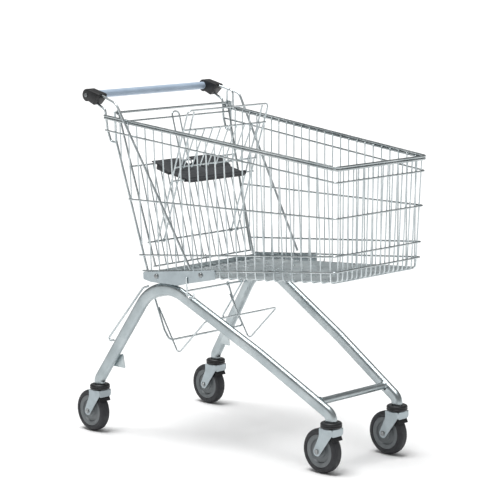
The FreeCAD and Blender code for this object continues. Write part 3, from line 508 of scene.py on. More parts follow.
def front_x(z, out=0.0):
    return RIM_FRONT[0] + FRONT_LEAN * (z - RIM_FRONT[1]) + out * np.hypot(1, FRONT_LEAN)


def rim_z(x):
    return RIM_REAR[1] + RIM_SLOPE * (x - RIM_REAR[0])


def floor_z(x):
    return FLOOR_REAR[1] + FLOOR_SLOPE * (x - FLOOR_REAR[0])


print("wall slopes", np.round(WALL, 4), "front lean", round(FRONT_LEAN, 4))

# %% [markdown]
# The chassis side: one flat-oval tube bent into an arch, from the rear castor up the leg, over
# the top and down the long front slope to the front castor. It is a sweep of the flat oval
# along five straights and four bends, in a plane that closes in towards the front.

# %% Chassis side tubes
LEG_ANGLE, TUBE_END_Z, LEG_START_Z = 54.4, 147.5, 160.0
END_BEND_R, ARCH_BEND_R = 25.0, 125.0
FRONT_SLOPE, FRONT_LOW = ((327.0, 450.0), (610.0, 304.5)), (812.0, 189.0)


def track_half(x):
    return (REAR_TRACK + (FRONT_TRACK - REAR_TRACK) * np.asarray(x) / WHEEL_BASE) / 2


def on_chassis(flat, side, out=0.0):
    """(x, z) points put in the leaning plane of one chassis side."""
    flat = np.asarray(flat, float)
    steep = np.hypot(1, (REAR_TRACK - FRONT_TRACK) / 2 / WHEEL_BASE)
    return np.column_stack([flat[:, 0], side * (track_half(flat[:, 0]) + out * steep), flat[:, 1]])


def arch_corner():
    """Where the rear leg's line meets the front slope's line."""
    rise, (first, second) = np.tan(np.radians(LEG_ANGLE)), FRONT_SLOPE
    fall = (second[1] - first[1]) / (second[0] - first[0])
    x = (first[1] - fall * first[0] - LEG_START_Z) / (rise - fall)
    return x, LEG_START_Z + rise * x


def side_tube(side):
    low = (FRONT_LOW[1] - FRONT_SLOPE[1][1]) / (FRONT_LOW[0] - FRONT_SLOPE[1][0])
    nose = FRONT_LOW[1] + low * (WHEEL_BASE - FRONT_LOW[0])
    flat = [(0, TUBE_END_Z), (0, LEG_START_Z), arch_corner()]
    flat += [FRONT_SLOPE[1], (WHEEL_BASE, nose), (WHEEL_BASE, TUBE_END_Z)]
    points = on_chassis(flat, side)
    across = unit(np.cross(points[-1] - points[0], [0, 0, 1]))
    line = rounded(points, [END_BEND_R, ARCH_BEND_R, ARCH_BEND_R, END_BEND_R], 12)
    return sweep(line, flat_oval(TUBE_DEEP, TUBE_WIDE, 28), across, 0.8)


for name, side in SIDES.items():
    piece("side_tube_" + name, ["chassis_tube_" + name], [side_tube(side)], ZINC_STEEL, crease=50)

# %% [markdown]
# Small chassis parts: a round cross tube welded between the front legs, with a weld fillet at
# each end; a gusset inside each rear leg; and a wire guard that keeps the next trolley in the
# stack off the leg. The tube is turned, the gusset pressed, the guard swept.

# %% Cross tube, gussets and leg guards
CROSS = (806.0, 196.0)
cross_half = track_half(CROSS[0]) - TUBE_WIDE / 2 - 0.4
weld = [(13.5, -cross_half), (12.6, 1.6 - cross_half), (10.6, 4 - cross_half), (10, 7 - cross_half)]
bar = turned(both_faces(weld), (CROSS[0], 0, CROSS[1]))
piece("front_cross_bar", ["front_cross_tube"], [bar], ZINC_STEEL)

GUSSET = [(40, 205), (92, 203), (84, 246), (66, 240)]


def leg_face(side):
    """The inner face of one chassis side, as a place to lay a plate."""
    start = on_chassis([(0, 0)], side, -TUBE_WIDE / 2)[0]
    ahead = (on_chassis([(1, 0)], side) - on_chassis([(0, 0)], side))[0]
    return start, ahead, (0, 0, 1), (0, -side, 0)


gussets = [pressed(GUSSET, 3, leg_face(side), PLATE_T) for side in SIDES.values()]
piece("gussets", ["leg_brackets"], gussets, ZINC_STEEL)

GUARD = [(205, 462.5), (184, 455), (172, 442), (42, 291), (49, 283.5), (63, 287)]
guard_lines = [rounded(on_chassis(GUARD, side), 5) for side in SIDES.values()]
piece("leg_guard_wires", ["leg_guards"], [wire(guard_lines, 3)], ZINC_WIRE)

# %% [markdown]
# A sheet plate closes the foot of each side wall and stands on the arch with a turned-in foot.
# The bend between plate and foot is one radius, so the foot is a second pressed sheet that
# meets the first at a small fillet.

# %% Side plates
FOOT_Z = box_mm("side_plate_left")[0][2]
PLATE = [(196, FOOT_Z + 6), (225, FOOT_Z), (335, FOOT_Z), (372, 487), (480, 509), (480, 536), (196, 505)]


def side_plate(side):
    """The wall's own plane carries the outline; the foot lies level and reaches inwards."""
    out = (0, side * WALL_STEEP, 0)
    ahead, up = (1, side * WALL[1], 0), (0, side * WALL[2], 1)
    lay = ((0, side * (WALL[0] + LINE_R * WALL_STEEP), 0), ahead, up, out)
    sheet = pressed(PLATE, [3, 4, 4, 12, 3, 6, 6], lay, PLATE_T, 0.5)
    foot = [(230, -18), (330, -18), (330, 1.2), (230, 1.2)]
    foot_lay = (wall(0, FOOT_Z, side, LINE_R), ahead, out, (0, 0, 1))
    return [sheet, pressed(foot, [6, 6, 0.6, 0.6], foot_lay, PLATE_T, 0.4)]


for name, side in SIDES.items():
    piece("wall_plate_" + name, ["side_plate_" + name], side_plate(side), PLATE_STEEL)
print("plate foot at %.1f mm" % FOOT_Z)

# %% [markdown]
# Dome-headed bolts clamp the handle arms to the plates, and two bent hooks for bags are welded
# to the outside. A strip across the back closes the floor and stops the flap.

# %% Plate bolts, bag hooks and rear strip
ORIGIN = (0, 0, 0)


def tipped(part, centre, way):
    """A shell tipped so that its height points along way, then moved to centre."""
    turn = np.array(Vector((0, 0, 1)).rotation_difference(Vector(unit(way))).to_matrix())
    return {**part, "v": part["v"] @ turn.T + np.asarray(centre, float)}


dome_line = [(7, 0), (7, 2.2), (6.3, 3.4), (4.6, 4.2), (2.6, 4.5), (2.3, 3.2), (0.3, 3.0)]
dome = turned(dome_line, ORIGIN, "z", 32)
bolts = [tipped(dome, wall(x, z, side, LINE_R + PLATE_T), (-WALL[1], side, -WALL[2]))
         for side in SIDES.values() for x, z in ((250, 497), (425, 517))]
piece("dome_bolts", ["plate_bolts"], bolts, BOLT_STEEL)

HOOK = np.array([(372, 506), (372, 447), (398, 447), (398, 462)], float)
hook_out = 2 * LINE_R + PLATE_T
hook_lines = [rounded(wall(HOOK[:, 0], HOOK[:, 1], side, hook_out), 9) for side in SIDES.values()]
piece("bag_hook_wires", ["bag_hooks"], [wire(hook_lines, LINE_R)], ZINC_WIRE)

strip_low, strip_high = box_mm("rear_strip")
STRIP_X, STRIP_HALF = strip_low[0] - PIN_X, strip_high[1]
strip_lay = ((STRIP_X, 0, 0), (0, 1, 0), (0, 0, 1), (1, 0, 0))
strip = [(-STRIP_HALF, strip_low[2]), (STRIP_HALF, strip_low[2])]
strip += [(STRIP_HALF, strip_high[2]), (-STRIP_HALF, strip_high[2])]
piece("floor_strip", ["rear_strip"], [pressed(strip, 4, strip_lay, PLATE_T)], ZINC_STEEL)

# %% [markdown]
# The rim is two thick wires, one above the other. Each is a single length that starts at the
# back of one side, turns the front corner and comes back along the other side. The level wires
# below it are bent in the same way. A level U is swept with z as its side.

# %% Rim and level wires
LINES = [(62.0, 910.5, 809.7), (146.4, 713.5, 713.3), (179.5, 552.1, 612.2), (190.0, 507.0, 568.8)]
RIM_OUT, RIM_TAIL_X = RIM_R - LINE_R, 62.0


def around_basket(rear_x, rear_z, front_z, out, bend):
    """Rear right, front right, front left, rear left, with both front corners bent."""
    x = front_x(front_z, out)
    right = wall([rear_x, x], [rear_z, front_z], -1, out)
    left = wall([x, rear_x], [front_z, rear_z], 1, out)
    return rounded(np.concatenate([right, left]), bend, 8)


rim_lines = [around_basket(RIM_TAIL_X, rim_z(RIM_TAIL_X) + lift, RIM_FRONT[1] + lift, RIM_OUT, 14)
             for lift in (RIM_R, -RIM_R)]
# The rim and level wires take the darker zinc, whose tone is painted shade.
piece("rim_wires", ["basket_rim"], [wire(rim_lines, RIM_R, (0, 0, 1), 14)], SHADE_PAINTED_WIRE)
level_lines = [around_basket(*line, 0, 11) for line in LINES]
piece("level_wires", ["line_wires"], [wire(level_lines, LINE_R, (0, 0, 1), 12)], SHADE_PAINTED_WIRE)

# %% [markdown]
# The mesh is made of hoops: one thin wire goes down a side, under the floor and up the other
# side. Twenty-one of them stand at an even pitch. Lengthwise, eighteen wires come down the
# front wall, turn under and run back along the floor, fanning out to the rear. Each family is
# one sweep over a whole array of centre lines.

# %% Hoops
HOOP_X = 220 + 33.5 * np.arange(21)


def hoop_lines(x, bend=11):
    low, top, inside = floor_z(x), rim_z(x), -LINE_STEP
    corners = [wall(x, z, side, inside) for z, side in ((top, -1), (low, -1), (low, 1), (top, 1))]
    return np.stack([rounded(line, bend, 5) for line in np.stack(corners, 1)])


def short_upright(x, side):
    """Side wires behind the floor stand on the sloping rear post instead of turning under."""
    post = 881 + (x - 99.5) * (540 - 881) / (194 - 99.5)
    low = post + POST_R / np.sin(np.radians(15.5)) + 6
    return np.stack([wall(x, low, side, -LINE_STEP), wall(x, rim_z(x), side, -LINE_STEP)], -2)


short_x = 220 - 33.5 * np.arange(1, 4)
short_lines = np.concatenate([short_upright(short_x, side) for side in SIDES.values()])
piece("hoop_wires", ["side_wires_right", "side_wires_left", "floor_cross_wires"],
      [wire(hoop_lines(HOOP_X), MESH_R, (1, 0, 0), 8), wire(short_lines, MESH_R, (1, 0, 0), 8)], ZINC_WIRE)

# %% Long wires of the front and floor
FRONT_COUNT, FRONT_HALF, FAN = 18, 158.0, 1.28
LONG_REAR_X = STRIP_X + PLATE_T + 0.4


def long_z(x):
    return floor_z(x) + 2 * MESH_R * np.hypot(1, FLOOR_SLOPE)


def long_lines(bend=9):
    y = np.linspace(-FRONT_HALF, FRONT_HALF, FRONT_COUNT)
    same = np.ones(FRONT_COUNT)
    top_z = RIM_FRONT[1]
    foot_z = long_z(905.0)
    top = np.stack([front_x(top_z, -LINE_STEP) * same, 1.06 * y, top_z * same], -1)
    foot = np.stack([front_x(foot_z, -LINE_STEP) * same, y, foot_z * same], -1)
    rear = np.stack([LONG_REAR_X * same, FAN * y, long_z(LONG_REAR_X) * same], -1)
    return np.stack([rounded(line, bend, 5) for line in np.stack([top, foot, rear], 1)])


piece("long_wires", ["floor_long_wires", "front_wires"],
      [wire(long_lines(), MESH_R, (0, 1, 0), 8)], ZINC_WIRE)

# %% [markdown]
# Two bent posts hold the rear of the walls, and a rod between them carries the flap. The handle
# stands on four wires: the upper arms run over the rim and down the outside of the wall to the
# plates, and the lower stays come back to the posts.

# %% Posts, hinge rod, arms and stays
POST = np.array([(99.5, 966), (99.5, 881), (194, 540), (210, 486)], float)
HINGE_X, HINGE_Z = 100.0, 962.0
for name, side in SIDES.items():
    line = rounded(wall(POST[:, 0], POST[:, 1], side, -LINE_R - POST_R), 20, 8)
    piece("corner_post_" + name, ["rear_post_" + name], [wire(line, POST_R, around=14)], ZINC_WIRE)

rod_half = box_mm("hinge_rod")[1][1]
piece("hinge_bar", ["hinge_rod"],
      [wire([(HINGE_X, -rod_half, HINGE_Z), (HINGE_X, rod_half, HINGE_Z)], POST_R, (0, 0, 1), 14)],
      SHADE_PAINTED_WIRE)

ARM_OUT = LINE_R + PLATE_T + ARM_R
for name, side in SIDES.items():
    corners = np.concatenate([[(44.0, side * 234.1, 1010.8)], wall([123, 390], [989, 531], side, ARM_OUT)])
    piece("upper_arm_" + name, ["handle_arm_" + name],
          [wire(rounded(corners, 30, 10), ARM_R, around=14)], ZINC_WIRE)

STAY = np.array([(60, 968.5), (66, 911), (78, 878), (95.5, 876)], float)
stay_lines = []
for side in SIDES.values():
    foot = wall(STAY[:, 0], STAY[:, 1], side, -LINE_R - POST_R)
    stay_lines.append(rounded(np.concatenate([[(23.0, foot[0, 1], 987.0)], foot]), 10))
piece("lower_stays", ["handle_stays"], [wire(stay_lines, ARM_R, around=14)], ZINC_WIRE)

# %% [markdown]
# A rounded wire loop stands up inside the left rim; a chain or a list holder hangs on it.

# %% Left loop
LOOP = np.array([(82, rim_z(82) - 6, -5.5), (84, 1000, -7), (110, 1000, -7), (112, rim_z(112) - 6, -5.5)])
loop_line = rounded(wall(LOOP[:, 0], LOOP[:, 1], 1, LOOP[:, 2]), 12, 8)
piece("rim_loop", ["left_loop"], [wire(loop_line, 3)], ZINC_WIRE)

# %% [markdown]
# The handle is a tube in a blue-grey sleeve, a little ridge at each end of the sleeve. It is a
# turned shape. The caps are one black moulding each, round behind the tube and slanted in front
# where the two wires leave; an outline at stacked widths gives the soft outer corner.

# %% Handle and end caps
HANDLE_X, HANDLE_Z, HANDLE_R = -8.0, 1010.0, 11.5
CAP_IN, CAP_OUT, CAP_R = 218.0, 250.0, 18.5
tube_half = box_mm("handle_tube")[1][1]
sleeve = [(HANDLE_R - 0.6, -tube_half), (HANDLE_R, 0.6 - tube_half), (HANDLE_R, -60), (HANDLE_R, 60),
          (HANDLE_R, tube_half - 0.6), (HANDLE_R - 0.6, tube_half)]
piece("handle_sleeve", ["handle_tube"], [turned(sleeve, (HANDLE_X, 0, HANDLE_Z), "y", 40)], HANDLE_PLASTIC)

back = np.radians(np.linspace(80, 290, 22))
cap_round = np.stack([CAP_R * np.cos(back), CAP_R * np.sin(back)], -1)
cap_nose = rounded([(6.5, -17.4), (32, -28), (55, -8), (59, 4.5), (3.1, 18.2)], [4, 2.5, 3], 5)[1:-1]
CAP = np.concatenate([cap_round, cap_nose]) + [HANDLE_X, HANDLE_Z]


def end_cap(side):
    """The cap outline at seven widths; the two outer ones are inset along a quarter circle."""
    lay = ((0, 0, 0), (1, 0, 0), (0, 0, 1), (0, side, 0))
    turn = np.radians([0, 30, 60, 90])
    rings = [(shrunk(CAP, 0.8), CAP_IN, 0.4), (CAP, CAP_IN + 0.8, 0.6)]
    rings += [(shrunk(CAP, 4 * (1 - np.cos(a))), CAP_OUT - 4 + 4 * np.sin(a), 0.3) for a in turn]
    return layered(rings, lay)


for name, side in SIDES.items():
    piece("handle_cap_" + name, ["end_cap_" + name], [end_cap(side)], BLACK_PLASTIC)

screw_line = [(6, 0), (6, 1.2), (5.2, 2.1), (3.6, 2.6), (2.4, 2.7), (2.2, 1.2), (0.2, 1.1)]
screw = turned(screw_line, ORIGIN, "z", 32)
piece("cap_screw_heads", ["cap_screws"],
      [tipped(screw, (HANDLE_X, side * CAP_OUT, HANDLE_Z), (0, side, 0)) for side in SIDES.values()],
      BOLT_STEEL)

# %% [markdown]
# The rear flap hangs from the hinge rod and swings up when another trolley is pushed in. Its
# place is a distance down the flap, a distance to the side and a distance out of it. The eyes
# are a wire turned once round the rod, so each is a turned ring of round section.

# %% Rear flap
FLAP_LEAN, FLAP_BOTTOM_D = np.radians(14.45), 457.0
FLAP_DOWN = np.array([np.sin(FLAP_LEAN), 0, -np.cos(FLAP_LEAN)])
FLAP_OUT = np.array([np.cos(FLAP_LEAN), 0, np.sin(FLAP_LEAN)])
FLAP_LINE_OUT = -3.0 - LINE_R


def on_flap(down, y, out=0.0):
    """hinge + down * the flap's own way down + out * the way out of it."""
    down, y, out = np.broadcast_arrays(np.asarray(down, float), y, out)
    place = np.array([HINGE_X, 0, HINGE_Z]) + down[..., None] * FLAP_DOWN + out[..., None] * FLAP_OUT
    place[..., 1] = y
    return place


def flap_half(down):
    return 219.0 + (193.0 - 219.0) * np.asarray(down) / FLAP_BOTTOM_D


def eye(centre, hole, outer, around=32):
    """A round section of half the wall's width, turned at the middle of the wall."""
    a = np.arange(12) * 2 * np.pi / 12
    mean, half = (hole + outer) / 2, (outer - hole) / 2
    return turned(np.stack([mean + half * np.cos(a), half * np.sin(a)], -1), centre, "y", around, ring=True)


side_down, side_half = [7.0, FLAP_BOTTOM_D + LINE_R], flap_half([9, FLAP_BOTTOM_D])
flap_sides = np.stack([on_flap(side_down, side * side_half) for side in SIDES.values()])
levels = np.array([27.0, 160.0, 386.0, FLAP_BOTTOM_D])
reach = flap_half(levels) + 3.0
flap_levels = np.stack([on_flap(levels, -reach, FLAP_LINE_OUT), on_flap(levels, reach, FLAP_LINE_OUT)], 1)
eyes = [eye((HINGE_X, side * 219.0, HINGE_Z), 3.6, 9.0) for side in SIDES.values()]
piece("flap_wires", ["flap_frame"],
      [wire(flap_sides, 3, around=12), wire(flap_levels, LINE_R, FLAP_OUT, 12)] + eyes,
      SHADE_PAINTED_WIRE, "rear_flap")

upright_y = 25.0 * np.arange(-7, 8)
uprights = np.stack([on_flap(160.0, upright_y, -1.0), on_flap(FLAP_BOTTOM_D + LINE_R, upright_y, -1.0)], 1)
piece("flap_mesh", ["flap_uprights"], [wire(uprights, MESH_R, around=8)], ZINC_WIRE, "rear_flap")

# %% [markdown]
# Between the two leg openings stands an upside-down U, and a small U at the foot stops the flap
# on the floor strip. Both lie in the flap's plane, so the plane's own normal is the side of the
# sweep.

# %% Leg divider and stop
divider_out = FLAP_LINE_OUT + 2 * LINE_R
divider_end = 160 - LINE_R - 0.4
divider = rounded(on_flap([divider_end, 12, 12, divider_end], [-14, -14, 14, 14], divider_out), 12, 8)
stop_out = FLAP_LINE_OUT - LINE_STEP
stop_end = FLAP_BOTTOM_D - 12
stop_low = FLAP_BOTTOM_D + 17
stop = rounded(on_flap([stop_end, stop_low, stop_low, stop_end], [-18, -18, 18, 18], stop_out), 15, 8)
piece("flap_loops", ["leg_divider"],
      [wire(divider, LINE_R, FLAP_OUT, 12), wire(stop, MESH_R, FLAP_OUT)], ZINC_WIRE, "rear_flap")

# %% [markdown]
# The backrest of the child seat leans forwards from the flap's low wire. One wire makes its
# outline, two more stand inside it, three bars cross it and a few thin wires fill the top.
# Slanting the thin ones stiffens the panel.

# %% Backrest
BACK_LEAN, BACK_LONG, BACK_HALF, BACK_INNER = np.radians(20.5), 412.0, 161.0, 136.5
BACK_UP = np.array([np.sin(BACK_LEAN), 0, np.cos(BACK_LEAN)])
BACK_OUT = np.array([np.cos(BACK_LEAN), 0, -np.sin(BACK_LEAN)])
BACK_PIVOT = on_flap(386.0, 0.0, FLAP_LINE_OUT)


def on_back(up, y, out=0.0):
    """pivot + up * the backrest's way up + out * the way out of it."""
    up, y, out = np.broadcast_arrays(np.asarray(up, float), y, out)
    place = BACK_PIVOT + up[..., None] * BACK_UP + out[..., None] * BACK_OUT
    place[..., 1] = y
    return place


outer_y = np.array([-BACK_HALF, -BACK_HALF, BACK_HALF, BACK_HALF])
outline = rounded(on_back([5, BACK_LONG, BACK_LONG, 5], outer_y), 14, 8)
inner_y = np.array([-BACK_INNER, BACK_INNER])
inner = np.stack([on_back(5.0, inner_y), on_back(BACK_LONG - 2 * LINE_R, inner_y)], 1)
bar_up = np.array([194.0, 238.0, 354.0])
bars = np.stack([on_back(bar_up, y, 2 * LINE_R) for y in (-BACK_HALF - LINE_R, BACK_HALF + LINE_R)], 1)
back_eyes = [eye((BACK_PIVOT[0], y, BACK_PIVOT[2]), LINE_R + RUN_FIT, 6.5, 28)
             for y in (-BACK_HALF, *inner_y, BACK_HALF)]
back_wires = [wire(outline, LINE_R, BACK_OUT, 12), wire(inner, LINE_R, (0, 1, 0), 12)]
back_wires += [wire(bars, LINE_R, BACK_OUT, 12)] + back_eyes
piece("backrest_wires", ["backrest_frame"], back_wires, ZINC_WIRE, "backrest")

grid_y = 32.0 * np.arange(-4, 5)
grid = np.stack([on_back(235.5, grid_y - 8, 9.5), on_back(356.5, grid_y + 8, 9.5)], 1)
piece("backrest_mesh", ["backrest_grid"], [wire(grid, MESH_R, (0, 1, 0), 8)], ZINC_WIRE, "backrest")

# %% [markdown]
# The child sits on a black moulding that hinges on the backrest's lowest bar. Its rear edge is
# a raised lip in two halves, whose tongue rests on the flap; the notch between them clears the
# leg divider. The pan is an outline at stacked depths: rounded below, a narrow raised border,
# then a shallow recess. The lips are a section swept across the seat.

# %% Seat plate
SEAT_DROP, SEAT_HALF, SEAT_BEHIND, SEAT_AHEAD = np.radians(13.9), 115.0, 115.0, 21.0
SEAT_FORE = np.array([np.cos(SEAT_DROP), 0, -np.sin(SEAT_DROP)])
SEAT_UP = np.array([np.sin(SEAT_DROP), 0, np.cos(SEAT_DROP)])
SEAT_PIVOT = on_back(194.0, 0.0, 2 * LINE_R)
SEAT_LAY = (SEAT_PIVOT, SEAT_FORE, (0, 1, 0), SEAT_UP)
NOTCH = 14 + LINE_R + 5.0
rear, front = -SEAT_BEHIND, SEAT_AHEAD
PAN = [(rear, -SEAT_HALF), (front, -SEAT_HALF), (front, SEAT_HALF), (rear, SEAT_HALF),
       (rear, NOTCH), (rear + 20, NOTCH - 4), (rear + 20, 4 - NOTCH), (rear, -NOTCH)]
pan_edge = rounded(PAN, [12, 12, 12, 12, 4, 6, 6, 4], 6, closed=True)
pan_rings = [(2.0, -3, 0.2), (0.5, -2.4, 0.6), (0, -1.2, 1), (0, 3.2, 1),
             (0.5, 4.5, 0.8), (1.4, 5, 0.5), (3.4, 5, 0.2), (4.6, 4.2, 0)]
pan = layered([(shrunk(pan_edge, inset), up, wear) for inset, up, wear in pan_rings], SEAT_LAY)
barrel_line = [(2.6, -115), (6, -115), (6.5, -114.4), (6.5, 127.4), (6, 128), (2.6, 128)]
barrel = turned(barrel_line, SEAT_PIVOT, "y", 32, ring=True)


def seat_lip(side):
    """The lip's section at stacked places along y, a little smaller at each end."""
    section = [(rear - 24, 11.5), (rear - 24, 15.5), (rear + 10, 15.5)]
    section += [(rear + 56, 5), (rear + 56, -3), (rear, -3), (rear, 11.5)]
    line = rounded(section, [1.5, 1.5, 8, 3, 2, 4, 3], 5, closed=True)
    start, end = sorted([side * NOTCH, side * (SEAT_HALF + 10)])
    rings = ((1.2, 0, 0.6), (0.3, 0.5, 0.8), (0, 1.2, 1))
    ends = [(shrunk(line, inset), start + run, wear) for inset, run, wear in rings]
    ends += [(shrunk(line, inset), end - run, wear) for inset, run, wear in reversed(rings)]
    return layered(ends, (SEAT_PIVOT, SEAT_FORE, SEAT_UP, (0, 1, 0)))


lips = [seat_lip(side) for side in SIDES.values()]
piece("seat_pan", ["seat_plate"], [pan, barrel] + lips, SEAT_PLASTIC, "child_seat")

# %% [markdown]
# Under the basket hangs a wire frame for a drinks crate. It turns on a rod across the rear
# legs, and a V-shaped cradle wire holds the crate's lower edge.

# %% Crate carrier
CARRIER_ALONG_LEG, CARRIER_HALF, CARRIER_R, CRADLE_R = 300.0, 150.0, 3.0, 2.5
rise, carrier_off = np.radians(LEG_ANGLE), TUBE_DEEP / 2 + CARRIER_R
CARRIER_X = CARRIER_ALONG_LEG * np.cos(rise) - carrier_off * np.sin(rise)
CARRIER_Z = LEG_START_Z + CARRIER_ALONG_LEG * np.sin(rise) + carrier_off * np.cos(rise)
carrier_half = box_mm("carrier_rod")[1][1]
carrier_line = [(CARRIER_X, y, CARRIER_Z) for y in (-carrier_half, carrier_half)]
carrier_axle = wire(carrier_line, CARRIER_R, (0, 0, 1), 14)
piece("carrier_axle", ["carrier_rod"], [carrier_axle], ZINC_WIRE)


def both_sides(flat, half):
    """The (x, z) points down one side and back up the other, measured from the carrier's axle."""
    flat = np.asarray(flat, float) + [CARRIER_X, CARRIER_Z]
    one = np.insert(flat, 1, -half, axis=1)
    return np.concatenate([one, one[::-1] * [1, -1, 1]])


hang = rounded(both_sides([(2.2, -5.2), (40, -94), (62, -121.8)], CARRIER_HALF), 12)
carrier_eyes = [eye((CARRIER_X, side * CARRIER_HALF, CARRIER_Z), CARRIER_R + RUN_FIT, 8.0, 28)
                for side in SIDES.values()]
piece("carrier_hanger", ["carrier_frame"],
      [wire(hang, CARRIER_R, (0.85, 0, 0.52), 12)] + carrier_eyes, ZINC_WIRE, "crate_carrier")

cradle = rounded(both_sides([(12, -30), (92, -159), (213, -48)], CARRIER_HALF - CARRIER_R - CRADLE_R), 12)
piece("carrier_rack", ["carrier_cradle"],
      [wire(cradle, CRADLE_R, (0.17, 0, 0.985), 12)], ZINC_WIRE, "crate_carrier")

# %% [markdown]
# Each castor has a riveted pin, a black buffer ring under the tube, a pressed fork that trails
# behind the pin, a curved thread guard, an axle bolt, a moulded wheel and a rubber tread. Pins
# and rings belong to the trolley, the fork turns, and the wheel rolls in it.

# %% Castor pins and buffer rings
CASTORS = {"rear_right": (0.0, -REAR_TRACK / 2), "rear_left": (0.0, REAR_TRACK / 2),
           "front_right": (WHEEL_BASE, -FRONT_TRACK / 2), "front_left": (WHEEL_BASE, FRONT_TRACK / 2)}
ring_low, ring_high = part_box("castor_rings")[0][2] * 1000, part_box("castor_rings")[1][2] * 1000
pin_line = [(7.5, 125), (9.5, 126), (9.5, 127.6), (6, 127.6), (6, 149.6), (5.4, 150.5)]
pin = turned(pin_line, ORIGIN, "z", 32)
waist = (ring_low + ring_high) / 2 - 0.5
buffer_corners = [(6, ring_low), (26.5, ring_low), (30, ring_low + 3.5)]
buffer_corners += [(30, waist - 1.5), (28.4, waist), (30, waist + 1.5)]
buffer_corners += [(30, ring_high - 4.5), (28.5, ring_high - 1.5), (26, ring_high), (6, ring_high)]
buffer_bends = [0.4, 1.2, 1.2, 0.6, 0.6, 0.6, 1, 1, 0.8, 0.4]
buffer_line = rounded(buffer_corners, buffer_bends, 3, closed=True)
buffer = turned(buffer_line, (0, 0, 0), "z", 56, ring=True)
piece("castor_pins", ["castor_stems"], [moved(pin, (x, y, 0)) for x, y in CASTORS.values()], BOLT_STEEL)
piece("buffer_rings", ["castor_rings"],
      [moved(buffer, (x, y, 0)) for x, y in CASTORS.values()], BLACK_PLASTIC)

# %% [markdown]
# The fork is one pressing: a crown plate under the ring, a cheek down each side of the wheel,
# tapering to a round end at the axle, and a short skirt between them in front. The cheek's
# outline is a tangent from each side of the crown to the circle round the axle.

# %% Fork
CHEEK_IN, CHEEK_T, FORK_END_R, CROWN_Z = 20.5, 3.0, 13.0, 131.0


def touch_angle(point, centre, radius, turn):
    """Angle on a circle where a line from the point touches it."""
    away = np.asarray(point, float) - centre
    return np.arctan2(away[1], away[0]) + turn * np.arccos(radius / np.hypot(*away))


def cheek_outline():
    axle = np.array([-TRAIL, WHEEL_R])
    front, back_edge = (23.0, CROWN_Z - 16), (-25.0, CROWN_Z - 22)
    start, end = touch_angle(front, axle, FORK_END_R, -1), touch_angle(back_edge, axle, FORK_END_R, 1)
    a = np.linspace(start, end - 2 * np.pi, 22)
    foot = axle + FORK_END_R * np.stack([np.cos(a), np.sin(a)], -1)
    upper = rounded([foot[-1], back_edge, (-25, CROWN_Z), (23, CROWN_Z), front, foot[0]], [14, 2, 2, 14], 5)
    return np.concatenate([foot, upper[1:-1]])


def cheek(side):
    lay = ((0, side * CHEEK_IN, 0), (1, 0, 0), (0, 0, 1), (0, side, 0))
    return slab(cheek_outline(), lay, CHEEK_T, 0.6)


crown = turned([(24.8, 128), (26, 128.8), (26, 130.2), (25, CROWN_Z)], (0, 0, 0), "z", 56)
shoulder_lay = ((0, 0, 128), (1, 0, 0), (0, 1, 0), (0, 0, 1))
shoulder = pressed([(-24.6, -23.2), (22.6, -23.2), (22.6, 23.2), (-24.6, 23.2)], 9, shoulder_lay, 2.9, 0.8)
skirt_lay = ((20.05, 0, 109), (0, 1, 0), (0, 0, 1), (1, 0, 0))
skirt = pressed([(-20.45, 0.05), (20.45, 0.05), (20.45, 21.8), (-20.45, 21.8)], 5, skirt_lay, 2.9, 0.7)
fork_parts = [crown, shoulder, skirt, cheek(-1), cheek(1)]

# %% [markdown]
# A black guard, thinner towards its tip, keeps thread out of the wheel, and a bolt with a nut
# is the axle. Their six-sided heads are turned shapes of six steps.

# %% Thread guard and axle
guard_a = np.radians(np.linspace(31, 54, 14))
arc = np.stack([np.cos(guard_a), np.sin(guard_a)], -1)
taper = np.minimum(1, np.linspace(0, 2.6, 14))[:, None]
guard_line = np.concatenate([arc * (WHEEL_R + 4.6 + 2.4 * taper), arc[::-1] * (WHEEL_R + 3.5)])
guard_half = CHEEK_IN - 0.2
guard_lay = ((-TRAIL, -guard_half, WHEEL_R), (1, 0, 0), (0, 0, 1), (0, 1, 0))
guard = slab(guard_line, guard_lay, 2 * guard_half, 0.7, 0.7)
reach = CHEEK_IN + CHEEK_T
shaft = turned([(4, -reach - 1), (4, reach + 1)], (-TRAIL, 0, WHEEL_R), "y", 24)
hexagon = [(6.6, 0), (7, 0.4), (7, 3.2), (6.1, 4.0), (3.4, 4.0), (3.2, 3.6), (0.3, 3.5)]
washer = [(8.2, 0), (8.2, 0.5), (7.9, 0.7)]
ends = [tipped(turned(profile, ORIGIN, "z", around), (-TRAIL, side * reach, WHEEL_R), (0, side, 0))
        for profile, around in ((hexagon, 6), (washer, 32)) for side in (-1, 1)]
axle_parts = [shaft] + ends

# %% [markdown]
# The wheel body is turned with steps on both faces, as the mould leaves it: a hub, a thin web
# and a rim. The tread is a second turned ring with a flat running band and rounded shoulders.
# Steps are softened by rounding the profile's corners.

# %% Wheel and tread
half = [(4.08, 19.5), (11, 19.5), (13, 12), (18, 12), (20, 8), (32, 8), (34, 12.5), (46, 14)]
core_bends = [0.3, 1.2, 1.2, 0.8, 0.8, 1.2, 1.0, 0.5, 0.5, 1.0, 1.2, 0.8, 0.8, 1.2, 1.2, 0.3]
core_line = rounded(both_faces(half), core_bends, 3, closed=True)
core = turned(core_line, (-TRAIL, 0, WHEEL_R), "y", 72, ring=True)
half = [(46, 14), (48, TYRE_HALF), (54.5, TYRE_HALF), (58.5, 13.5), (61.3, 10), (WHEEL_R, 6)]
tread_bends = [0.3, 0.8, 2, 2, 2, 2, 2, 2, 2, 2, 0.8, 0.3]
tread_line = rounded(both_faces(half), tread_bends, 4, closed=True)
tread = turned(tread_line, (-TRAIL, 0, WHEEL_R), "y", 84, ring=True)

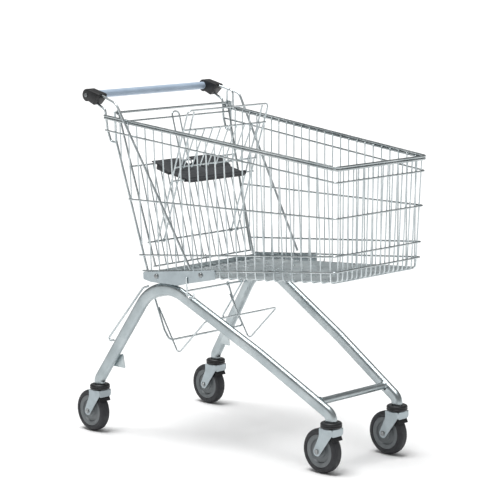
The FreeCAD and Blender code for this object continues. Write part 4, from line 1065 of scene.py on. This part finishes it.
for name, (x, y) in CASTORS.items():
    place = lambda parts: [moved(part, (x, y, 0)) for part in parts]
    piece(name + "_yoke", [name + "_fork"], place(fork_parts), PLATE_STEEL, name + "_castor")
    piece(name + "_cover", [name + "_guard"], place([guard]), BLACK_PLASTIC, name + "_castor")
    piece(name + "_bolt", [name + "_axle"], place(axle_parts), BOLT_STEEL, name + "_castor")
    piece(name + "_hub", [name + "_core"], place([core]), WHEEL_PLASTIC, name + "_wheel")
    piece(name + "_tread", [name + "_tyre"], place([tread]), TYRE_RUBBER, name + "_wheel")

# %% [markdown]
# CAD nodes that still show get the finish of their own material; the hidden ones get it too, so
# that nothing is left without one.

# %% Finishes for the frame's own nodes
def finish_for(name):
    """The finish whose kind of part the node's name tells."""
    kinds = (("tyre", TYRE_RUBBER), ("core", WHEEL_PLASTIC), ("guard", BLACK_PLASTIC),
             ("rings", BLACK_PLASTIC), ("end_cap", BLACK_PLASTIC), ("handle_tube", HANDLE_PLASTIC),
             ("seat_plate", SEAT_PLASTIC),
             ("axle", BOLT_STEEL), ("stems", BOLT_STEEL), ("bolts", BOLT_STEEL), ("screws", BOLT_STEEL),
             ("fork", PLATE_STEEL), ("chassis", ZINC_STEEL), ("side_plate", PLATE_STEEL),
             ("strip", ZINC_STEEL),
             ("cross_tube", ZINC_STEEL), ("brackets", ZINC_STEEL))
    if name == "leg_guards":
        return ZINC_WIRE
    return next((finish for word, finish in kinds if word in name), ZINC_WIRE)


for name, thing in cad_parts.items():
    thing.data.materials.clear()
    thing.data.materials.append(finish_for(name))
shown = [name for name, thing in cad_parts.items() if not thing.hide_render]
print("frame nodes still shown:", shown)

# %% [markdown]
# The trolley stands on a plain pale floor that runs far back, so that it fills the picture
# behind the trolley with one tone.

# %% Floor
def floor_finish():
    finish, tree, shader = start_finish("pale_floor", 0.0)
    where = coordinates(tree)
    tone = ramp(tree, noise(tree, where, 0.7, 2), (0.3, 0.86), (0.7, 0.9))
    patch = ramp(tree, noise(tree, where, 3, 2), (0.3, 0.75), (0.7, 0.85))
    feed(tree, shader, base_color=tone, roughness=patch)
    shader.inputs["Specular IOR Level"].default_value = 0.1
    return finish


FLOOR_REACH = 160.0
floor_mesh = bpy.data.meshes.new("floor")
corner = FLOOR_REACH * np.array([(-1, -1, 0), (1, -1, 0), (1, 1, 0), (-1, 1, 0)])
floor_mesh.from_pydata(corner.tolist(), [], [(0, 1, 2, 3)])
floor_mesh.materials.append(floor_finish())
floor = bpy.data.objects.new("floor", floor_mesh)
bpy.context.scene.collection.objects.link(floor)
print("floor", 2 * FLOOR_REACH, "m across")

# %% [markdown]
# Soft studio light: a very wide sun overhead gives the broad soft shadow under the trolley, and
# the room is brighter overhead and at the horizon than between them, so that round wires show a
# light line and a darker flank.

# %% Light
def lamp(name, energy, place, target, size):
    light = bpy.data.lights.new(name, "SUN")
    light.energy = energy
    light.angle = size
    made = bpy.data.objects.new(name, light)
    made.location = place
    made.rotation_euler = (Vector(target) - Vector(place)).to_track_quat("-Z", "Y").to_euler()
    bpy.context.scene.collection.objects.link(made)
    return made


lamp("overhead", 3.2, (-0.2, -0.5, 4.0), (0, 0, 0.4), np.radians(34))

room = bpy.data.worlds.new("room")
room.use_nodes = True
tree = room.node_tree
sky = tree.nodes["Background"]
height = tree.nodes.new("ShaderNodeSeparateXYZ")
tree.links.new(tree.nodes.new("ShaderNodeTexCoord").outputs["Generated"], height.inputs[0])
glow = ramp(tree, height.outputs["Z"], (0.0, 0.82), (0.2, 0.33), (0.6, 0.21), (0.9, 0.6))
tree.links.new(glow, sky.inputs["Color"])
sky.inputs["Strength"].default_value = 1.0
bpy.context.scene.world = room
bpy.context.scene.view_settings.view_transform = "Standard"

# %% [markdown]
# The camera stands ahead and to the right of the trolley, a little above the rim, with a long
# lens so that the uprights stay parallel.

# %% Camera
camera = bpy.data.objects.new("camera", bpy.data.cameras.new("camera"))
right, up = (0.69974, 0.71413, -0.01968), (-0.09450, 0.11983, 0.98829)
turn = Matrix((right, up, (0.70812, -0.68968, 0.15133))).transposed().to_4x4()
camera.matrix_world = Matrix.Translation((3.9911, -3.8941, 1.4162)) @ turn
camera.data.sensor_width = 36
camera.data.lens = 140.46
camera.data.clip_end = 500
bpy.context.scene.collection.objects.link(camera)
bpy.context.scene.camera = camera
